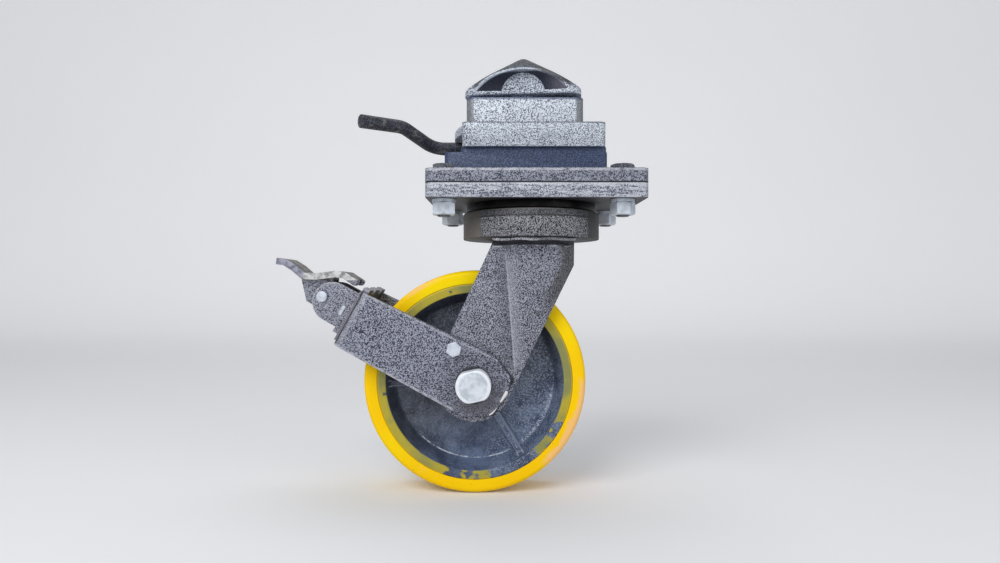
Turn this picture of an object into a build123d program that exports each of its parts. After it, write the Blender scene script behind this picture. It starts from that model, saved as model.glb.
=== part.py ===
from build123d import *
import math
import os

os.makedirs("parts", exist_ok=True)

# Container caster: a swivel caster with a wheel brake and a twist lock on its top plate
# Origin in the middle of the locating collar on the shoulder face, Z up, X along the collar

# Fits
running_fit = 0.08
bolt_fit = 0.5
side_gap = 0.3

# Wheel
wheel_r = 101.6
tread_w = 50.0
tread_t = 12.7
rim_step = 0.4
rim_wall = 7.9
recess_d = 16.6
recess_foot = 14.9
hub_r = 28.5
hub_half = 29.5
rib_t = 9.0
rib_inset = 8.0
rib_angle = -58.0

# Axle and hub bearings
axle_r = 10.0
bearing_r = 23.5
bearing_w = 14.0
ring_wall = 3.4
head_r = 15.5
head_flat = 13.5
head_h = 13.0
head_tilt = 12.0
axle_nut_flat = 15.0
axle_nut_h = 16.0
axle_washer_t = 3.0

# Fork
fork_half = 31.0
leg_t = 7.0
trail = 52.0
axle_drop = 129.9
leg_end_r = 33.5
swage_bulge = 8.0
weld_leg = 5.5
weld_root = 1.0

# Swivel head
swivel_x = 6.4
crown_r = 63.5
crown_h = 24.4
crown_pocket_r = 26.0
crown_pocket_d = 8.0
crown_gap = 1.0
ball_r = 6.0
ball_pitch_r = 47.0
ball_count = 16
race_r = 60.0
race_bore_r = 34.0
race_h = 9.4
kingpin_r = 10.0
kingpin_head_r = 18.0
kingpin_nut_flat = 15.0
kingpin_nut_h = 14.0
thrust_washer_t = 3.0
thrust_washer_r = 22.0

# Plates and their bolts
plate_l = 190.0
plate_x = swivel_x + 2.5
plate_corner = 7.0
caster_plate_t = 13.0
lock_plate_t = 12.0
bolt_edge = 17.5
wrench_room = 2.5
bolt_r = 6.0
bolt_head_flat = 9.5
bolt_head_h = 5.2
bolt_nut_h = 11.0
spring_washer_t = 2.7
spring_washer_r = 10.3
bolt_tip = 1.3

# Twist lock housing
block_l = 128.0
block_x = 7.6
block_step = 4.0
block_h = 21.5
neck_h = 4.6
body_h = 19.4
body_l = 146.0
body_w = 72.0
body_x = 0.6
neck_l = 130.6
neck_x = 7.5
flare = 4.5
collar_l = 106.0
collar_w = 60.0
collar_h = 24.2
collar_corner = 8.0
nose_r = 65.2
nose_round = 5.0
nose_half_angle = 30.0

# Lock shaft, head and lever
shaft_r = 19.0
shaft_thread_r = 15.0
shaft_nut_flat = 23.0
shaft_nut_h = 8.0
shaft_washer_t = 2.0
head_rise = 28.5
lock_head_l = 107.0
lock_head_w = 51.0
lock_head_wall = 4.8
lock_head_top = 64.5
lock_head_corner = 9.0
lock_head_round = 9.0
lock_head_side = 17.5
lock_head_ridge_w = 25.0
lock_head_brow = 12.0
lock_head_turn = -6.5
pocket_half = 43.0
pocket_floor = 32.5
pocket_rise = 20.6
lever_r = 6.0
lever_z = -16.6
lever_socket = 14.0
lever_reach = 84.9
lever_bend_r = 24.0
lever_run = 26.0
lever_sweep = 23.4
lever_rise = 15.3
lever_tip_run = 33.2
lever_tip_sweep = 26.6
lever_tip_drop = 0.6
slot_clear = 0.7
turn_back = 6.5
turn_on = 83.5

# Brake
brake_tilt = 28.76
arm_t = 6.0
arm_round = 8.0
frame_reach = wheel_r + 25.0
arm_low = 28.4
arm_high = 24.1
arm_eye = 30.0
lip_h = 4.2
small_bolt_r = 4.0
small_bolt_flat = 6.5
small_bolt_h = 5.3
small_bolt_u = 30.4
small_bolt_v = 19.3
cheek_t = 4.0
cheek_half = 16.0
cheek_r = 18.5
pivot_gap = 33.9
pivot_r = 4.0
pivot_head_r = 4.9
pivot_head_h = 2.5
pedal_t = 6.0
pedal_w = 34.0
pedal_rise = 18.6
pedal_toe_reach = 42.0
pedal_toe_rise = 14.1
pedal_heel_reach = 32.2
pedal_heel_drop = 7.0
pedal_crown = 2.1
pedal_bend_r = 3.4
pedal_heel_round = 2.2
pedal_cheek_r = 9.0
pedal_cheek_reach = 20.9
pedal_cheek_drop = 8.6
pedal_cheek_t = 4.0
cam_r = 9.0
cam_offset = 5.0
brake_turn = 28.0
cam_hub_r = 11.8
shoe_clear = 2.7
shoe_t = 7.0
shoe_half_v = 14.0
shoe_half_y = 20.0
stem_half_y = 7.0
stem_half_v = 9.0
bar_t = 3.2
bar_w = 9.4
bar_gap = 11.7
bar_drop = 2.4
foot_t = 3.0
foot_half = 31.0
foot_edge = 1.8
tab_gap = 7.7

# Levels and places that follow
block_w = body_w + 2 * block_step
bolt_span_y = body_w + 2 * (flare + wrench_room + bolt_head_flat)
plate_w = bolt_span_y + 2 * bolt_edge
bolt_span_x = plate_l - 2 * bolt_edge
seam_z = -block_h
ledge_z = seam_z - neck_h
lock_plate_top = ledge_z - body_h
lock_plate_low = lock_plate_top - lock_plate_t
caster_plate_low = lock_plate_low - caster_plate_t
race_low = caster_plate_low - race_h + 2.5
crown_top = race_low - crown_gap
crown_low = crown_top - crown_h
axle_z = crown_low - axle_drop
axle_x = swivel_x - trail
leg_out = fork_half + leg_t
arm_out = leg_out + arm_t
rim_half = tread_w / 2 - rim_step
rim_r = wheel_r - tread_t
core_bore_r = rim_r - rim_wall

axle_axis = Axis((axle_x, 0, axle_z), (0, 1, 0))
lock_axis = Axis((0, 0, 0), (0, 0, 1))
axial_plane = Plane(origin=(axle_x, 0, axle_z), x_dir=(0, 1, 0), z_dir=(1, 0, 0))
wheel_plane = Plane(origin=(axle_x, 0, axle_z), x_dir=(1, 0, 0), z_dir=(0, -1, 0))
tilt = math.radians(brake_tilt)
along = (-math.cos(tilt), 0, math.sin(tilt))
across = (math.sin(tilt), 0, math.cos(tilt))
brake_side = Plane(origin=(axle_x, 0, axle_z), x_dir=along, z_dir=(0, 1, 0))
brake_top = Plane(origin=(axle_x, 0, axle_z), x_dir=along, z_dir=across)

# Lock head: pentagon with a rounded ridge, its underside flat, hollowed on both long sides
head_turn = math.radians(lock_head_turn)
head_side = Plane(
    origin=(0, 0, 0),
    x_dir=(math.cos(head_turn), math.sin(head_turn), 0),
    z_dir=(math.sin(head_turn), -math.cos(head_turn), 0),
)
head_end = Plane(origin=(0, 0, 0), x_dir=-head_side.z_dir, z_dir=head_side.x_dir)
head_flat_plane = Plane(origin=(0, 0, head_rise), x_dir=head_side.x_dir, z_dir=(0, 0, 1))
half_l = lock_head_l / 2
shoulder_z = head_rise + lock_head_wall
ridge_rise = lock_head_top - shoulder_z
quad_a = half_l**2 - lock_head_round**2
quad_b = 2 * half_l * (lock_head_round - ridge_rise)
quad_c = ridge_rise**2 - 2 * ridge_rise * lock_head_round
ridge_slope = (-quad_b + math.sqrt(quad_b**2 - 4 * quad_a * quad_c)) / (2 * quad_a)
ridge_z = shoulder_z + ridge_slope * half_l
pocket_top = pocket_floor + pocket_rise
brow_z = head_rise + lock_head_side
shaft_step = lock_plate_top + shaft_washer_t + side_gap + shaft_nut_h
with BuildPart() as lock_head:
    with BuildSketch(head_side) as head_outline:
        with BuildLine():
            Polyline(
                (-half_l, head_rise),
                (half_l, head_rise),
                (half_l, shoulder_z),
                (0, ridge_z),
                (-half_l, shoulder_z),
                close=True,
            )
        make_face()
        ridge_corner = head_outline.vertices().sort_by(Axis.Y)[-1]
        fillet(ridge_corner, radius=lock_head_round)
    extrude(amount=lock_head_w / 2, both=True)
    with BuildSketch(head_flat_plane):
        RectangleRounded(lock_head_l, lock_head_w, lock_head_corner)
    extrude(amount=lock_head_top, mode=Mode.INTERSECT)
    with BuildSketch(head_end) as end_outline:
        with BuildLine():
            Polyline(
                (-lock_head_w / 2, head_rise),
                (lock_head_w / 2, head_rise),
                (lock_head_w / 2, brow_z),
                (lock_head_ridge_w / 2, lock_head_top),
                (-lock_head_ridge_w / 2, lock_head_top),
                (-lock_head_w / 2, brow_z),
                close=True,
            )
        make_face()
        brow_corners = end_outline.vertices().group_by(Axis.Y)[1]
        fillet(brow_corners, radius=lock_head_brow)
    extrude(amount=lock_head_l, both=True, mode=Mode.INTERSECT)
    for side in (1, -1):
        with BuildSketch(head_side.offset(side * (lock_head_w / 2 + 0.1))):
            with BuildLine():
                ThreePointArc((-pocket_half, pocket_floor), (0, pocket_top), (pocket_half, pocket_floor))
                Line((pocket_half, pocket_floor), (-pocket_half, pocket_floor))
            make_face()
        with BuildSketch(head_side.offset(side * shaft_r * 0.63)):
            with BuildLine():
                ThreePointArc((-shaft_r, pocket_floor), (0, pocket_floor + shaft_r), (shaft_r, pocket_floor))
                Line((shaft_r, pocket_floor), (-shaft_r, pocket_floor))
            make_face()
        loft(mode=Mode.SUBTRACT)
    with BuildSketch(Plane.XY.offset(shaft_step)):
        Circle(shaft_r)
    extrude(amount=head_rise - shaft_step)
    with BuildSketch(Plane.XY.offset(shaft_step)):
        Circle(shaft_thread_r)
    extrude(amount=-shaft_nut_h)
    with BuildSketch(Plane(origin=(-shaft_r - 1, 0, lever_z), z_dir=(1, 0, 0))):
        Circle(lever_r)
    extrude(amount=lever_socket + 1, mode=Mode.SUBTRACT)
lock_head.part.label = "lock_head"
export_step(lock_head.part, "parts/lock_head.step")

# Lock lever: round bar with two bends, seated in the shaft
lever_start = -shaft_r + lever_socket
with BuildPart() as lock_lever:
    with BuildLine() as lever_path:
        FilletPolyline(
            (lever_start, 0, lever_z),
            (-lever_reach, 0, lever_z),
            (-lever_reach - lever_run, -lever_sweep, lever_z + lever_rise),
            (
                -lever_reach - lever_run - lever_tip_run,
                -lever_sweep - lever_tip_sweep,
                lever_z + lever_rise - lever_tip_drop,
            ),
            radius=lever_bend_r,
        )
    with BuildSketch(Plane(origin=(lever_start, 0, lever_z), z_dir=(-1, 0, 0))):
        Circle(lever_r)
    sweep(path=lever_path.wire())
lock_lever.part.label = "lock_lever"
export_step(lock_lever.part, "parts/lock_lever.step")

# Nut on the foot of the lock shaft
with BuildPart() as lock_shaft_nut:
    with BuildSketch(Plane.XY.offset(shaft_step - shaft_nut_h)):
        RegularPolygon(shaft_nut_flat, 6, major_radius=False)
        Circle(shaft_thread_r, mode=Mode.SUBTRACT)
    extrude(amount=shaft_nut_h)
lock_shaft_nut.part.label = "lock_shaft_nut"
export_step(lock_shaft_nut.part, "parts/lock_shaft_nut.step")

# Thrust washer under the lock shaft
with BuildPart() as lock_thrust_washer:
    with BuildSketch(Plane.XY.offset(lock_plate_top)):
        Circle(shaft_nut_flat)
    extrude(amount=shaft_washer_t)
lock_thrust_washer.part.label = "lock_thrust_washer"
export_step(lock_thrust_washer.part, "parts/lock_thrust_washer.step")

# Lever slot, shared by both halves of the housing: a sector about the shaft
slot_half = lever_r + slot_clear
slot_reach = 100.0
slot_start = math.radians(180 + turn_back)
slot_end = math.radians(180 - turn_on)
slot_mid = (slot_start + slot_end) / 2
slot_low = lever_z - slot_half
slot_high = lever_z + slot_half
with BuildSketch() as slot_shape:
    with BuildLine():
        Line((0, 0), (slot_reach * math.cos(slot_start), slot_reach * math.sin(slot_start)))
        ThreePointArc(
            (slot_reach * math.cos(slot_start), slot_reach * math.sin(slot_start)),
            (slot_reach * math.cos(slot_mid), slot_reach * math.sin(slot_mid)),
            (slot_reach * math.cos(slot_end), slot_reach * math.sin(slot_end)),
        )
        Line((slot_reach * math.cos(slot_end), slot_reach * math.sin(slot_end)), (0, 0))
    make_face()
    for slot_edge in (slot_start, slot_end):
        with Locations(Location((0, 0, 0), (0, 0, math.degrees(slot_edge)))):
            Rectangle(slot_reach, 2 * slot_half, align=(Align.MIN, Align.CENTER))

# Upper half of the housing: shoulder block, nose over the lever and locating collar
with BuildPart() as lock_block:
    with BuildSketch(Plane.XY.offset(seam_z)):
        with Locations((block_x, 0)):
            RectangleRounded(block_l, block_w, 6)
    extrude(amount=block_h)
    nose_plane = Plane(
        origin=(0, 0, 0),
        x_dir=(-math.cos(math.radians(nose_half_angle)), -math.sin(math.radians(nose_half_angle)), 0),
        z_dir=(-math.sin(math.radians(nose_half_angle)), math.cos(math.radians(nose_half_angle)), 0),
    )
    with BuildSketch(nose_plane) as nose_outline:
        with Locations((nose_r / 2, slot_high / 2)):
            Rectangle(nose_r, -slot_high)
        nose_corner = nose_outline.vertices().sort_by_distance((nose_r, 0, 0))[0]
        fillet(nose_corner, radius=nose_round)
    revolve(axis=lock_axis, revolution_arc=-2 * nose_half_angle)
    with BuildSketch():
        RectangleRounded(collar_l, collar_w, collar_corner)
    extrude(amount=collar_h)
    with BuildSketch(Plane.XY.offset(seam_z)):
        Circle(shaft_r + running_fit)
    extrude(amount=block_h + collar_h, mode=Mode.SUBTRACT)
    with BuildSketch(Plane.XY.offset(slot_low)):
        add(slot_shape.sketch)
    extrude(amount=2 * slot_half, mode=Mode.SUBTRACT)
lock_block.part.label = "lock_block"
export_step(lock_block.part, "parts/lock_block.step")

# Lower half of the housing: ledge, neck and flared foot, hollow under the shaft
nut_cavity_top = shaft_step + side_gap
with BuildPart() as lock_body:
    with BuildSketch(Plane.XY.offset(lock_plate_top)):
        with Locations((body_x, 0)):
            RectangleRounded(body_l, body_w, 6)
    extrude(amount=body_h)
    with BuildSketch(Plane.XY.offset(lock_plate_top)):
        with Locations((body_x, 0)):
            RectangleRounded(body_l + 2 * flare, body_w + 2 * flare, 6 + flare)
    extrude(amount=flare, taper=44)
    with BuildSketch(Plane.XY.offset(ledge_z)):
        with Locations((neck_x, 0)):
            RectangleRounded(neck_l, body_w, 6)
    extrude(amount=neck_h)
    with BuildSketch(Plane.XY.offset(lock_plate_top)):
        Circle(shaft_r + running_fit)
    extrude(amount=body_h + neck_h, mode=Mode.SUBTRACT)
    with BuildSketch(Plane.XY.offset(lock_plate_top)):
        Circle(shaft_nut_flat / math.cos(math.pi / 6) + 1)
    extrude(amount=nut_cavity_top - lock_plate_top, mode=Mode.SUBTRACT)
    with BuildSketch(Plane.XY.offset(slot_low)):
        add(slot_shape.sketch)
    extrude(amount=2 * slot_half, mode=Mode.SUBTRACT)
lock_body.part.label = "lock_body"
export_step(lock_body.part, "parts/lock_body.step")

# Base plate of the twist lock
with BuildPart() as lock_plate:
    with BuildSketch(Plane.XY.offset(lock_plate_low)):
        with Locations((plate_x, 0)):
            RectangleRounded(plate_l, plate_w, plate_corner)
        with Locations((swivel_x, 0)):
            with GridLocations(bolt_span_x, bolt_span_y, 2, 2):
                Circle(bolt_r + bolt_fit, mode=Mode.SUBTRACT)
    extrude(amount=lock_plate_t)
lock_plate.part.label = "lock_plate"
export_step(lock_plate.part, "parts/lock_plate.step")

# Top plate of the caster, countersunk for the kingpin
with BuildPart() as caster_plate:
    with BuildSketch(Plane.XY.offset(caster_plate_low)):
        with Locations((plate_x, 0)):
            RectangleRounded(plate_l, plate_w, plate_corner)
        with Locations((swivel_x, 0)):
            with GridLocations(bolt_span_x, bolt_span_y, 2, 2):
                Circle(bolt_r + bolt_fit, mode=Mode.SUBTRACT)
            Circle(kingpin_r, mode=Mode.SUBTRACT)
    extrude(amount=caster_plate_t)
    with Locations((swivel_x, 0, lock_plate_low)):
        Cone(
            kingpin_r,
            kingpin_head_r,
            kingpin_head_r - kingpin_r,
            align=(Align.CENTER, Align.CENTER, Align.MAX),
            mode=Mode.SUBTRACT,
        )
caster_plate.part.label = "caster_plate"
export_step(caster_plate.part, "parts/caster_plate.step")

# Four hexagon bolts through both plates
bolt_end = caster_plate_low - spring_washer_t - bolt_nut_h - bolt_tip
with BuildPart() as plate_bolts:
    with BuildSketch(Plane.XY.offset(lock_plate_top)):
        with Locations((swivel_x, 0)):
            with GridLocations(bolt_span_x, bolt_span_y, 2, 2):
                RegularPolygon(bolt_head_flat, 6, major_radius=False)
    extrude(amount=bolt_head_h)
    with BuildSketch(Plane.XY.offset(bolt_end)):
        with Locations((swivel_x, 0)):
            with GridLocations(bolt_span_x, bolt_span_y, 2, 2):
                Circle(bolt_r)
    extrude(amount=lock_plate_top - bolt_end)
plate_bolts.part.label = "plate_bolts"
export_step(plate_bolts.part, "parts/plate_bolts.step")

# Spring washers and nuts under the caster plate
with BuildPart() as plate_spring_washers:
    with BuildSketch(Plane.XY.offset(caster_plate_low - spring_washer_t)):
        with Locations((swivel_x, 0)):
            with GridLocations(bolt_span_x, bolt_span_y, 2, 2):
                Circle(spring_washer_r)
                Circle(bolt_r, mode=Mode.SUBTRACT)
    extrude(amount=spring_washer_t)
plate_spring_washers.part.label = "plate_spring_washers"
export_step(plate_spring_washers.part, "parts/plate_spring_washers.step")

with BuildPart() as plate_nuts:
    with BuildSketch(Plane.XY.offset(caster_plate_low - spring_washer_t - bolt_nut_h)):
        with Locations((swivel_x, 0)):
            with GridLocations(bolt_span_x, bolt_span_y, 2, 2):
                RegularPolygon(bolt_head_flat, 6, major_radius=False)
                Circle(bolt_r, mode=Mode.SUBTRACT)
    extrude(amount=bolt_nut_h)
plate_nuts.part.label = "plate_nuts"
export_step(plate_nuts.part, "parts/plate_nuts.step")

# Upper race, welded under the caster plate, with a groove for the balls
ball_z = crown_top + crown_gap / 2
with BuildPart() as upper_race:
    with BuildSketch(Plane.XY.offset(race_low)):
        with Locations((swivel_x, 0)):
            Circle(race_r)
            Circle(race_bore_r, mode=Mode.SUBTRACT)
    extrude(amount=caster_plate_low - race_low)
    with Locations((swivel_x, 0, ball_z)):
        Torus(ball_pitch_r, ball_r + running_fit, mode=Mode.SUBTRACT)
upper_race.part.label = "upper_race"
export_step(upper_race.part, "parts/upper_race.step")

# Fork crown: forged ring with the lower race, a kingpin bore and a pocket below
with BuildPart() as fork_crown:
    with BuildSketch(Plane.XY.offset(crown_low)):
        with Locations((swivel_x, 0)):
            Circle(crown_r)
            Circle(kingpin_r + running_fit, mode=Mode.SUBTRACT)
    extrude(amount=crown_h)
    chamfer(fork_crown.edges().group_by(Axis.Z)[-1].sort_by(SortBy.LENGTH)[-1], length=1.2)
    with BuildSketch(Plane.XY.offset(crown_low)):
        with Locations((swivel_x, 0)):
            Circle(crown_pocket_r)
    extrude(amount=crown_pocket_d, mode=Mode.SUBTRACT)
    with Locations((swivel_x, 0, ball_z)):
        Torus(ball_pitch_r, ball_r + running_fit, mode=Mode.SUBTRACT)
fork_crown.part.label = "fork_crown"
export_step(fork_crown.part, "parts/fork_crown.step")

# Balls of the swivel bearing
with BuildPart() as swivel_balls:
    with Locations((swivel_x, 0, ball_z)):
        with PolarLocations(ball_pitch_r, ball_count):
            Sphere(ball_r)
swivel_balls.part.label = "swivel_balls"
export_step(swivel_balls.part, "parts/swivel_balls.step")

# Kingpin with its thrust washer and nut
pocket_top_z = crown_low + crown_pocket_d
thrust_top = pocket_top_z - side_gap
king_nut_top = thrust_top - thrust_washer_t
kingpin_low = king_nut_top - kingpin_nut_h - 2.5
with BuildPart() as kingpin:
    with BuildSketch(Plane.XY.offset(kingpin_low)):
        with Locations((swivel_x, 0)):
            Circle(kingpin_r)
    extrude(amount=lock_plate_low - kingpin_low)
    with Locations((swivel_x, 0, lock_plate_low)):
        Cone(
            kingpin_r,
            kingpin_head_r,
            kingpin_head_r - kingpin_r,
            align=(Align.CENTER, Align.CENTER, Align.MAX),
        )
kingpin.part.label = "kingpin"
export_step(kingpin.part, "parts/kingpin.step")

with BuildPart() as kingpin_washer:
    with BuildSketch(Plane.XY.offset(king_nut_top)):
        with Locations((swivel_x, 0)):
            Circle(thrust_washer_r)
            Circle(kingpin_r, mode=Mode.SUBTRACT)
    extrude(amount=thrust_washer_t)
kingpin_washer.part.label = "kingpin_washer"
export_step(kingpin_washer.part, "parts/kingpin_washer.step")

with BuildPart() as kingpin_nut:
    with BuildSketch(Plane.XY.offset(king_nut_top - kingpin_nut_h)):
        with Locations((swivel_x, 0)):
            RegularPolygon(kingpin_nut_flat, 6, major_radius=False)
            Circle(kingpin_r, mode=Mode.SUBTRACT)
    extrude(amount=kingpin_nut_h)
kingpin_nut.part.label = "kingpin_nut"
export_step(kingpin_nut.part, "parts/kingpin_nut.step")

# Fork legs: flat plate to the rear, conical swage to the front, round eye at the axle
# Places on the leg are told from the axle, to the right and up
top_up = axle_drop
leg_rear = 18.3
fold_top_x = leg_rear + 8.6
fold_low_x = leg_end_r + 2.5
fold_low_up = 11.6
swage_right = 88.8
swage_flare = 0.3
swage_low_right = fold_low_x + 6.6
swage_mid_up = axle_drop - 24.4
swage_mid_left = fold_top_x + 1.6
swage_start = 0.4
swage_curl = 1.0


def swage_section(up, left, right, bulge, curl):
    near = -leg_out
    mid = (left + right) / 2
    level = Plane.XY.offset(axle_z + up)
    with BuildSketch(level) as section:
        with BuildLine():
            ThreePointArc(
                (axle_x + left, near),
                (axle_x + mid, near - bulge),
                (axle_x + right, near + curl),
            )
            Line((axle_x + right, near + curl), (axle_x + right, near + curl + leg_t))
            ThreePointArc(
                (axle_x + right, near + curl + leg_t),
                (axle_x + mid, near - bulge + leg_t),
                (axle_x + left, near + leg_t),
            )
            Line((axle_x + left, near + leg_t), (axle_x + left, near))
        make_face()
    return section


swage_end = swage_right + swage_flare
swage_low = swage_section(fold_low_up, fold_low_x - swage_start, swage_low_right, swage_start, 0.0)
swage_mid = swage_section(swage_mid_up, swage_mid_left, swage_right, swage_bulge * 0.9, swage_curl)
swage_top = swage_section(top_up, fold_top_x - swage_start, swage_end, swage_bulge, swage_curl)
with BuildPart() as fork_leg_near:
    with BuildSketch(wheel_plane.offset(fork_half)):
        with BuildLine():
            Polyline(
                (leg_rear, top_up),
                (fold_top_x, top_up),
                (fold_low_x, fold_low_up),
                (swage_low_right, fold_low_up - 0.9),
                (0.77 * leg_end_r, -0.64 * leg_end_r),
                (0, 0),
                (-leg_end_r, 0),
                (-1.075 * leg_end_r, 0.61 * leg_end_r),
                (-0.65 * leg_end_r, 1.3 * leg_end_r),
                close=True,
            )
        make_face()
        Circle(leg_end_r)
        Circle(axle_r, mode=Mode.SUBTRACT)
    extrude(amount=leg_t)
    add(swage_low.sketch)
    add(swage_mid.sketch)
    loft(ruled=True)
    add(swage_mid.sketch)
    add(swage_top.sketch)
    loft(ruled=True)
    with BuildSketch(brake_side.offset(-leg_out - 1)):
        with Locations((small_bolt_u, small_bolt_v)):
            Circle(small_bolt_r)
    extrude(amount=leg_t + 2, mode=Mode.SUBTRACT)
fork_leg_near.part.label = "fork_leg_near"
export_step(fork_leg_near.part, "parts/fork_leg_near.step")

with BuildPart() as fork_leg_far:
    add(mirror(fork_leg_near.part, about=Plane.XZ))
fork_leg_far.part.label = "fork_leg_far"
export_step(fork_leg_far.part, "parts/fork_leg_far.step")

# Weld beads where the legs meet the crown, on the outer side of each leg
weld_left = axle_x + leg_rear
weld_right = axle_x + swage_end
weld_in = -leg_out + weld_root
weld_out = -leg_out - weld_leg
with BuildPart() as fork_welds:
    with BuildSketch(Plane.XY.offset(crown_low)) as weld_outline:
        with BuildLine():
            Line((weld_left, weld_in), (weld_left, weld_out))
            Line((weld_left, weld_out), (axle_x + fold_top_x, weld_out))
            ThreePointArc(
                (axle_x + fold_top_x, weld_out),
                (axle_x + (fold_top_x + swage_end) / 2, weld_out - swage_bulge),
                (weld_right, weld_out + swage_curl),
            )
            Line((weld_right, weld_out + swage_curl), (weld_right, weld_in))
            Line((weld_right, weld_in), (weld_left, weld_in))
        make_face()
    extrude(amount=-weld_leg, taper=38)
    add(fork_leg_near.part, mode=Mode.SUBTRACT)
    mirror(about=Plane.XZ)
fork_welds.part.label = "fork_welds"
export_step(fork_welds.part, "parts/fork_welds.step")

# Axle with a round head cut by two flats, washer and nut on the far side
axle_end = arm_out + axle_washer_t + axle_nut_h + 3.0
with BuildPart() as axle:
    with BuildSketch(wheel_plane.offset(-axle_end)):
        Circle(axle_r)
    extrude(amount=axle_end + arm_out)
    with BuildSketch(wheel_plane.offset(arm_out)):
        Circle(head_r)
        with Locations(Location((0, 0, 0), (0, 0, head_tilt))):
            Rectangle(3 * head_r, 2 * head_flat, mode=Mode.INTERSECT)
    extrude(amount=head_h)
axle.part.label = "axle"
export_step(axle.part, "parts/axle.step")

with BuildPart() as axle_washer:
    with BuildSketch(wheel_plane.offset(-arm_out - axle_washer_t)):
        Circle(axle_nut_flat + 3.5)
        Circle(axle_r, mode=Mode.SUBTRACT)
    extrude(amount=axle_washer_t)
axle_washer.part.label = "axle_washer"
export_step(axle_washer.part, "parts/axle_washer.step")

with BuildPart() as axle_nut:
    with BuildSketch(wheel_plane.offset(-arm_out - axle_washer_t - axle_nut_h)):
        RegularPolygon(axle_nut_flat, 6, major_radius=False)
        Circle(axle_r, mode=Mode.SUBTRACT)
    extrude(amount=axle_nut_h)
axle_nut.part.label = "axle_nut"
export_step(axle_nut.part, "parts/axle_nut.step")

# Tread: cast onto the core, slightly crowned, with rounded shoulders
half_w = tread_w / 2
with BuildPart() as wheel_tread:
    with BuildSketch(axial_plane):
        with BuildLine():
            Line((-half_w, rim_r), (-half_w, wheel_r - 5.4))
            ThreePointArc(
                (-half_w, wheel_r - 5.4),
                (-half_w + 1.6, wheel_r - 2.1),
                (-half_w + 5.5, wheel_r - 0.6),
            )
            ThreePointArc((-half_w + 5.5, wheel_r - 0.6), (0, wheel_r), (half_w - 5.5, wheel_r - 0.6))
            ThreePointArc(
                (half_w - 5.5, wheel_r - 0.6),
                (half_w - 1.6, wheel_r - 2.1),
                (half_w, wheel_r - 5.4),
            )
            Line((half_w, wheel_r - 5.4), (half_w, rim_r))
            Line((half_w, rim_r), (-half_w, rim_r))
        make_face()
    revolve(axis=axle_axis)
wheel_tread.part.label = "wheel_tread"
export_step(wheel_tread.part, "parts/wheel_tread.step")

# Core: rim with drafted inner walls, disc, hub with bearing seats, three ribs a side
disc_half = rim_half - recess_d
disc_r = rim_r - recess_foot
seat_in = hub_half - side_gap - bearing_w
with BuildPart() as wheel_core:
    with BuildSketch(axial_plane):
        with BuildLine():
            Polyline(
                (-rim_half, rim_r),
                (-rim_half, core_bore_r),
                (-disc_half, disc_r),
                (-disc_half, hub_r + 2),
                (-hub_half, hub_r),
                (-hub_half, bearing_r),
                (-seat_in, bearing_r),
                (-seat_in, bearing_r - 4),
                (seat_in, bearing_r - 4),
                (seat_in, bearing_r),
                (hub_half, bearing_r),
                (hub_half, hub_r),
                (disc_half, hub_r + 2),
                (disc_half, disc_r),
                (rim_half, core_bore_r),
                (rim_half, rim_r),
                close=True,
            )
        make_face()
    revolve(axis=axle_axis)
    rib_in = bearing_r + 2.5
    rib_out = core_bore_r
    with BuildSketch(wheel_plane):
        with PolarLocations((rib_in + rib_out) / 2, 3, start_angle=rib_angle):
            Rectangle(rib_out - rib_in, rib_t)
    extrude(amount=rim_half - rib_inset, both=True)
wheel_core.part.label = "wheel_core"
export_step(wheel_core.part, "parts/wheel_core.step")

# Hub bearings: outer rings and seals turn with the wheel, inner rings stay on the axle
race_in_r = axle_r + ring_wall
race_out_r = bearing_r - ring_wall
bearing_out = seat_in + bearing_w
with BuildPart() as bearing_outer_rings:
    for side in (1, -1):
        with BuildSketch(wheel_plane.offset(side * seat_in)):
            Circle(bearing_r)
            Circle(race_out_r, mode=Mode.SUBTRACT)
        extrude(amount=side * bearing_w)
bearing_outer_rings.part.label = "bearing_outer_rings"
export_step(bearing_outer_rings.part, "parts/bearing_outer_rings.step")

with BuildPart() as bearing_inner_rings:
    for side in (1, -1):
        with BuildSketch(wheel_plane.offset(side * seat_in)):
            Circle(race_in_r)
            Circle(axle_r, mode=Mode.SUBTRACT)
        extrude(amount=side * bearing_w)
bearing_inner_rings.part.label = "bearing_inner_rings"
export_step(bearing_inner_rings.part, "parts/bearing_inner_rings.step")

small_ball_r = (race_out_r - race_in_r) / 2 - 0.05
with BuildPart() as bearing_balls:
    for side in (1, -1):
        with Locations(wheel_plane.offset(side * (seat_in + bearing_w / 2))):
            with PolarLocations((race_out_r + race_in_r) / 2, 8):
                Sphere(small_ball_r)
bearing_balls.part.label = "bearing_balls"
export_step(bearing_balls.part, "parts/bearing_balls.step")

with BuildPart() as bearing_seals:
    for side in (1, -1):
        with BuildSketch(wheel_plane.offset(side * (bearing_out - 1.5))):
            Circle(race_out_r)
            Circle(race_in_r + side_gap, mode=Mode.SUBTRACT)
        extrude(amount=side * 1.0)
bearing_seals.part.label = "bearing_seals"
export_step(bearing_seals.part, "parts/bearing_seals.step")

# Sleeve between the inner rings and the two spacers beside them
with BuildPart() as axle_sleeve:
    with BuildSketch(wheel_plane):
        Circle(race_in_r - 0.4)
        Circle(axle_r, mode=Mode.SUBTRACT)
    extrude(amount=seat_in, both=True)
axle_sleeve.part.label = "axle_sleeve"
export_step(axle_sleeve.part, "parts/axle_sleeve.step")

with BuildPart() as axle_spacers:
    for side in (1, -1):
        with BuildSketch(wheel_plane.offset(side * bearing_out)):
            Circle(race_in_r + 1.6)
            Circle(axle_r, mode=Mode.SUBTRACT)
        extrude(amount=side * (fork_half - bearing_out))
axle_spacers.part.label = "axle_spacers"
export_step(axle_spacers.part, "parts/axle_spacers.step")

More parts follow.
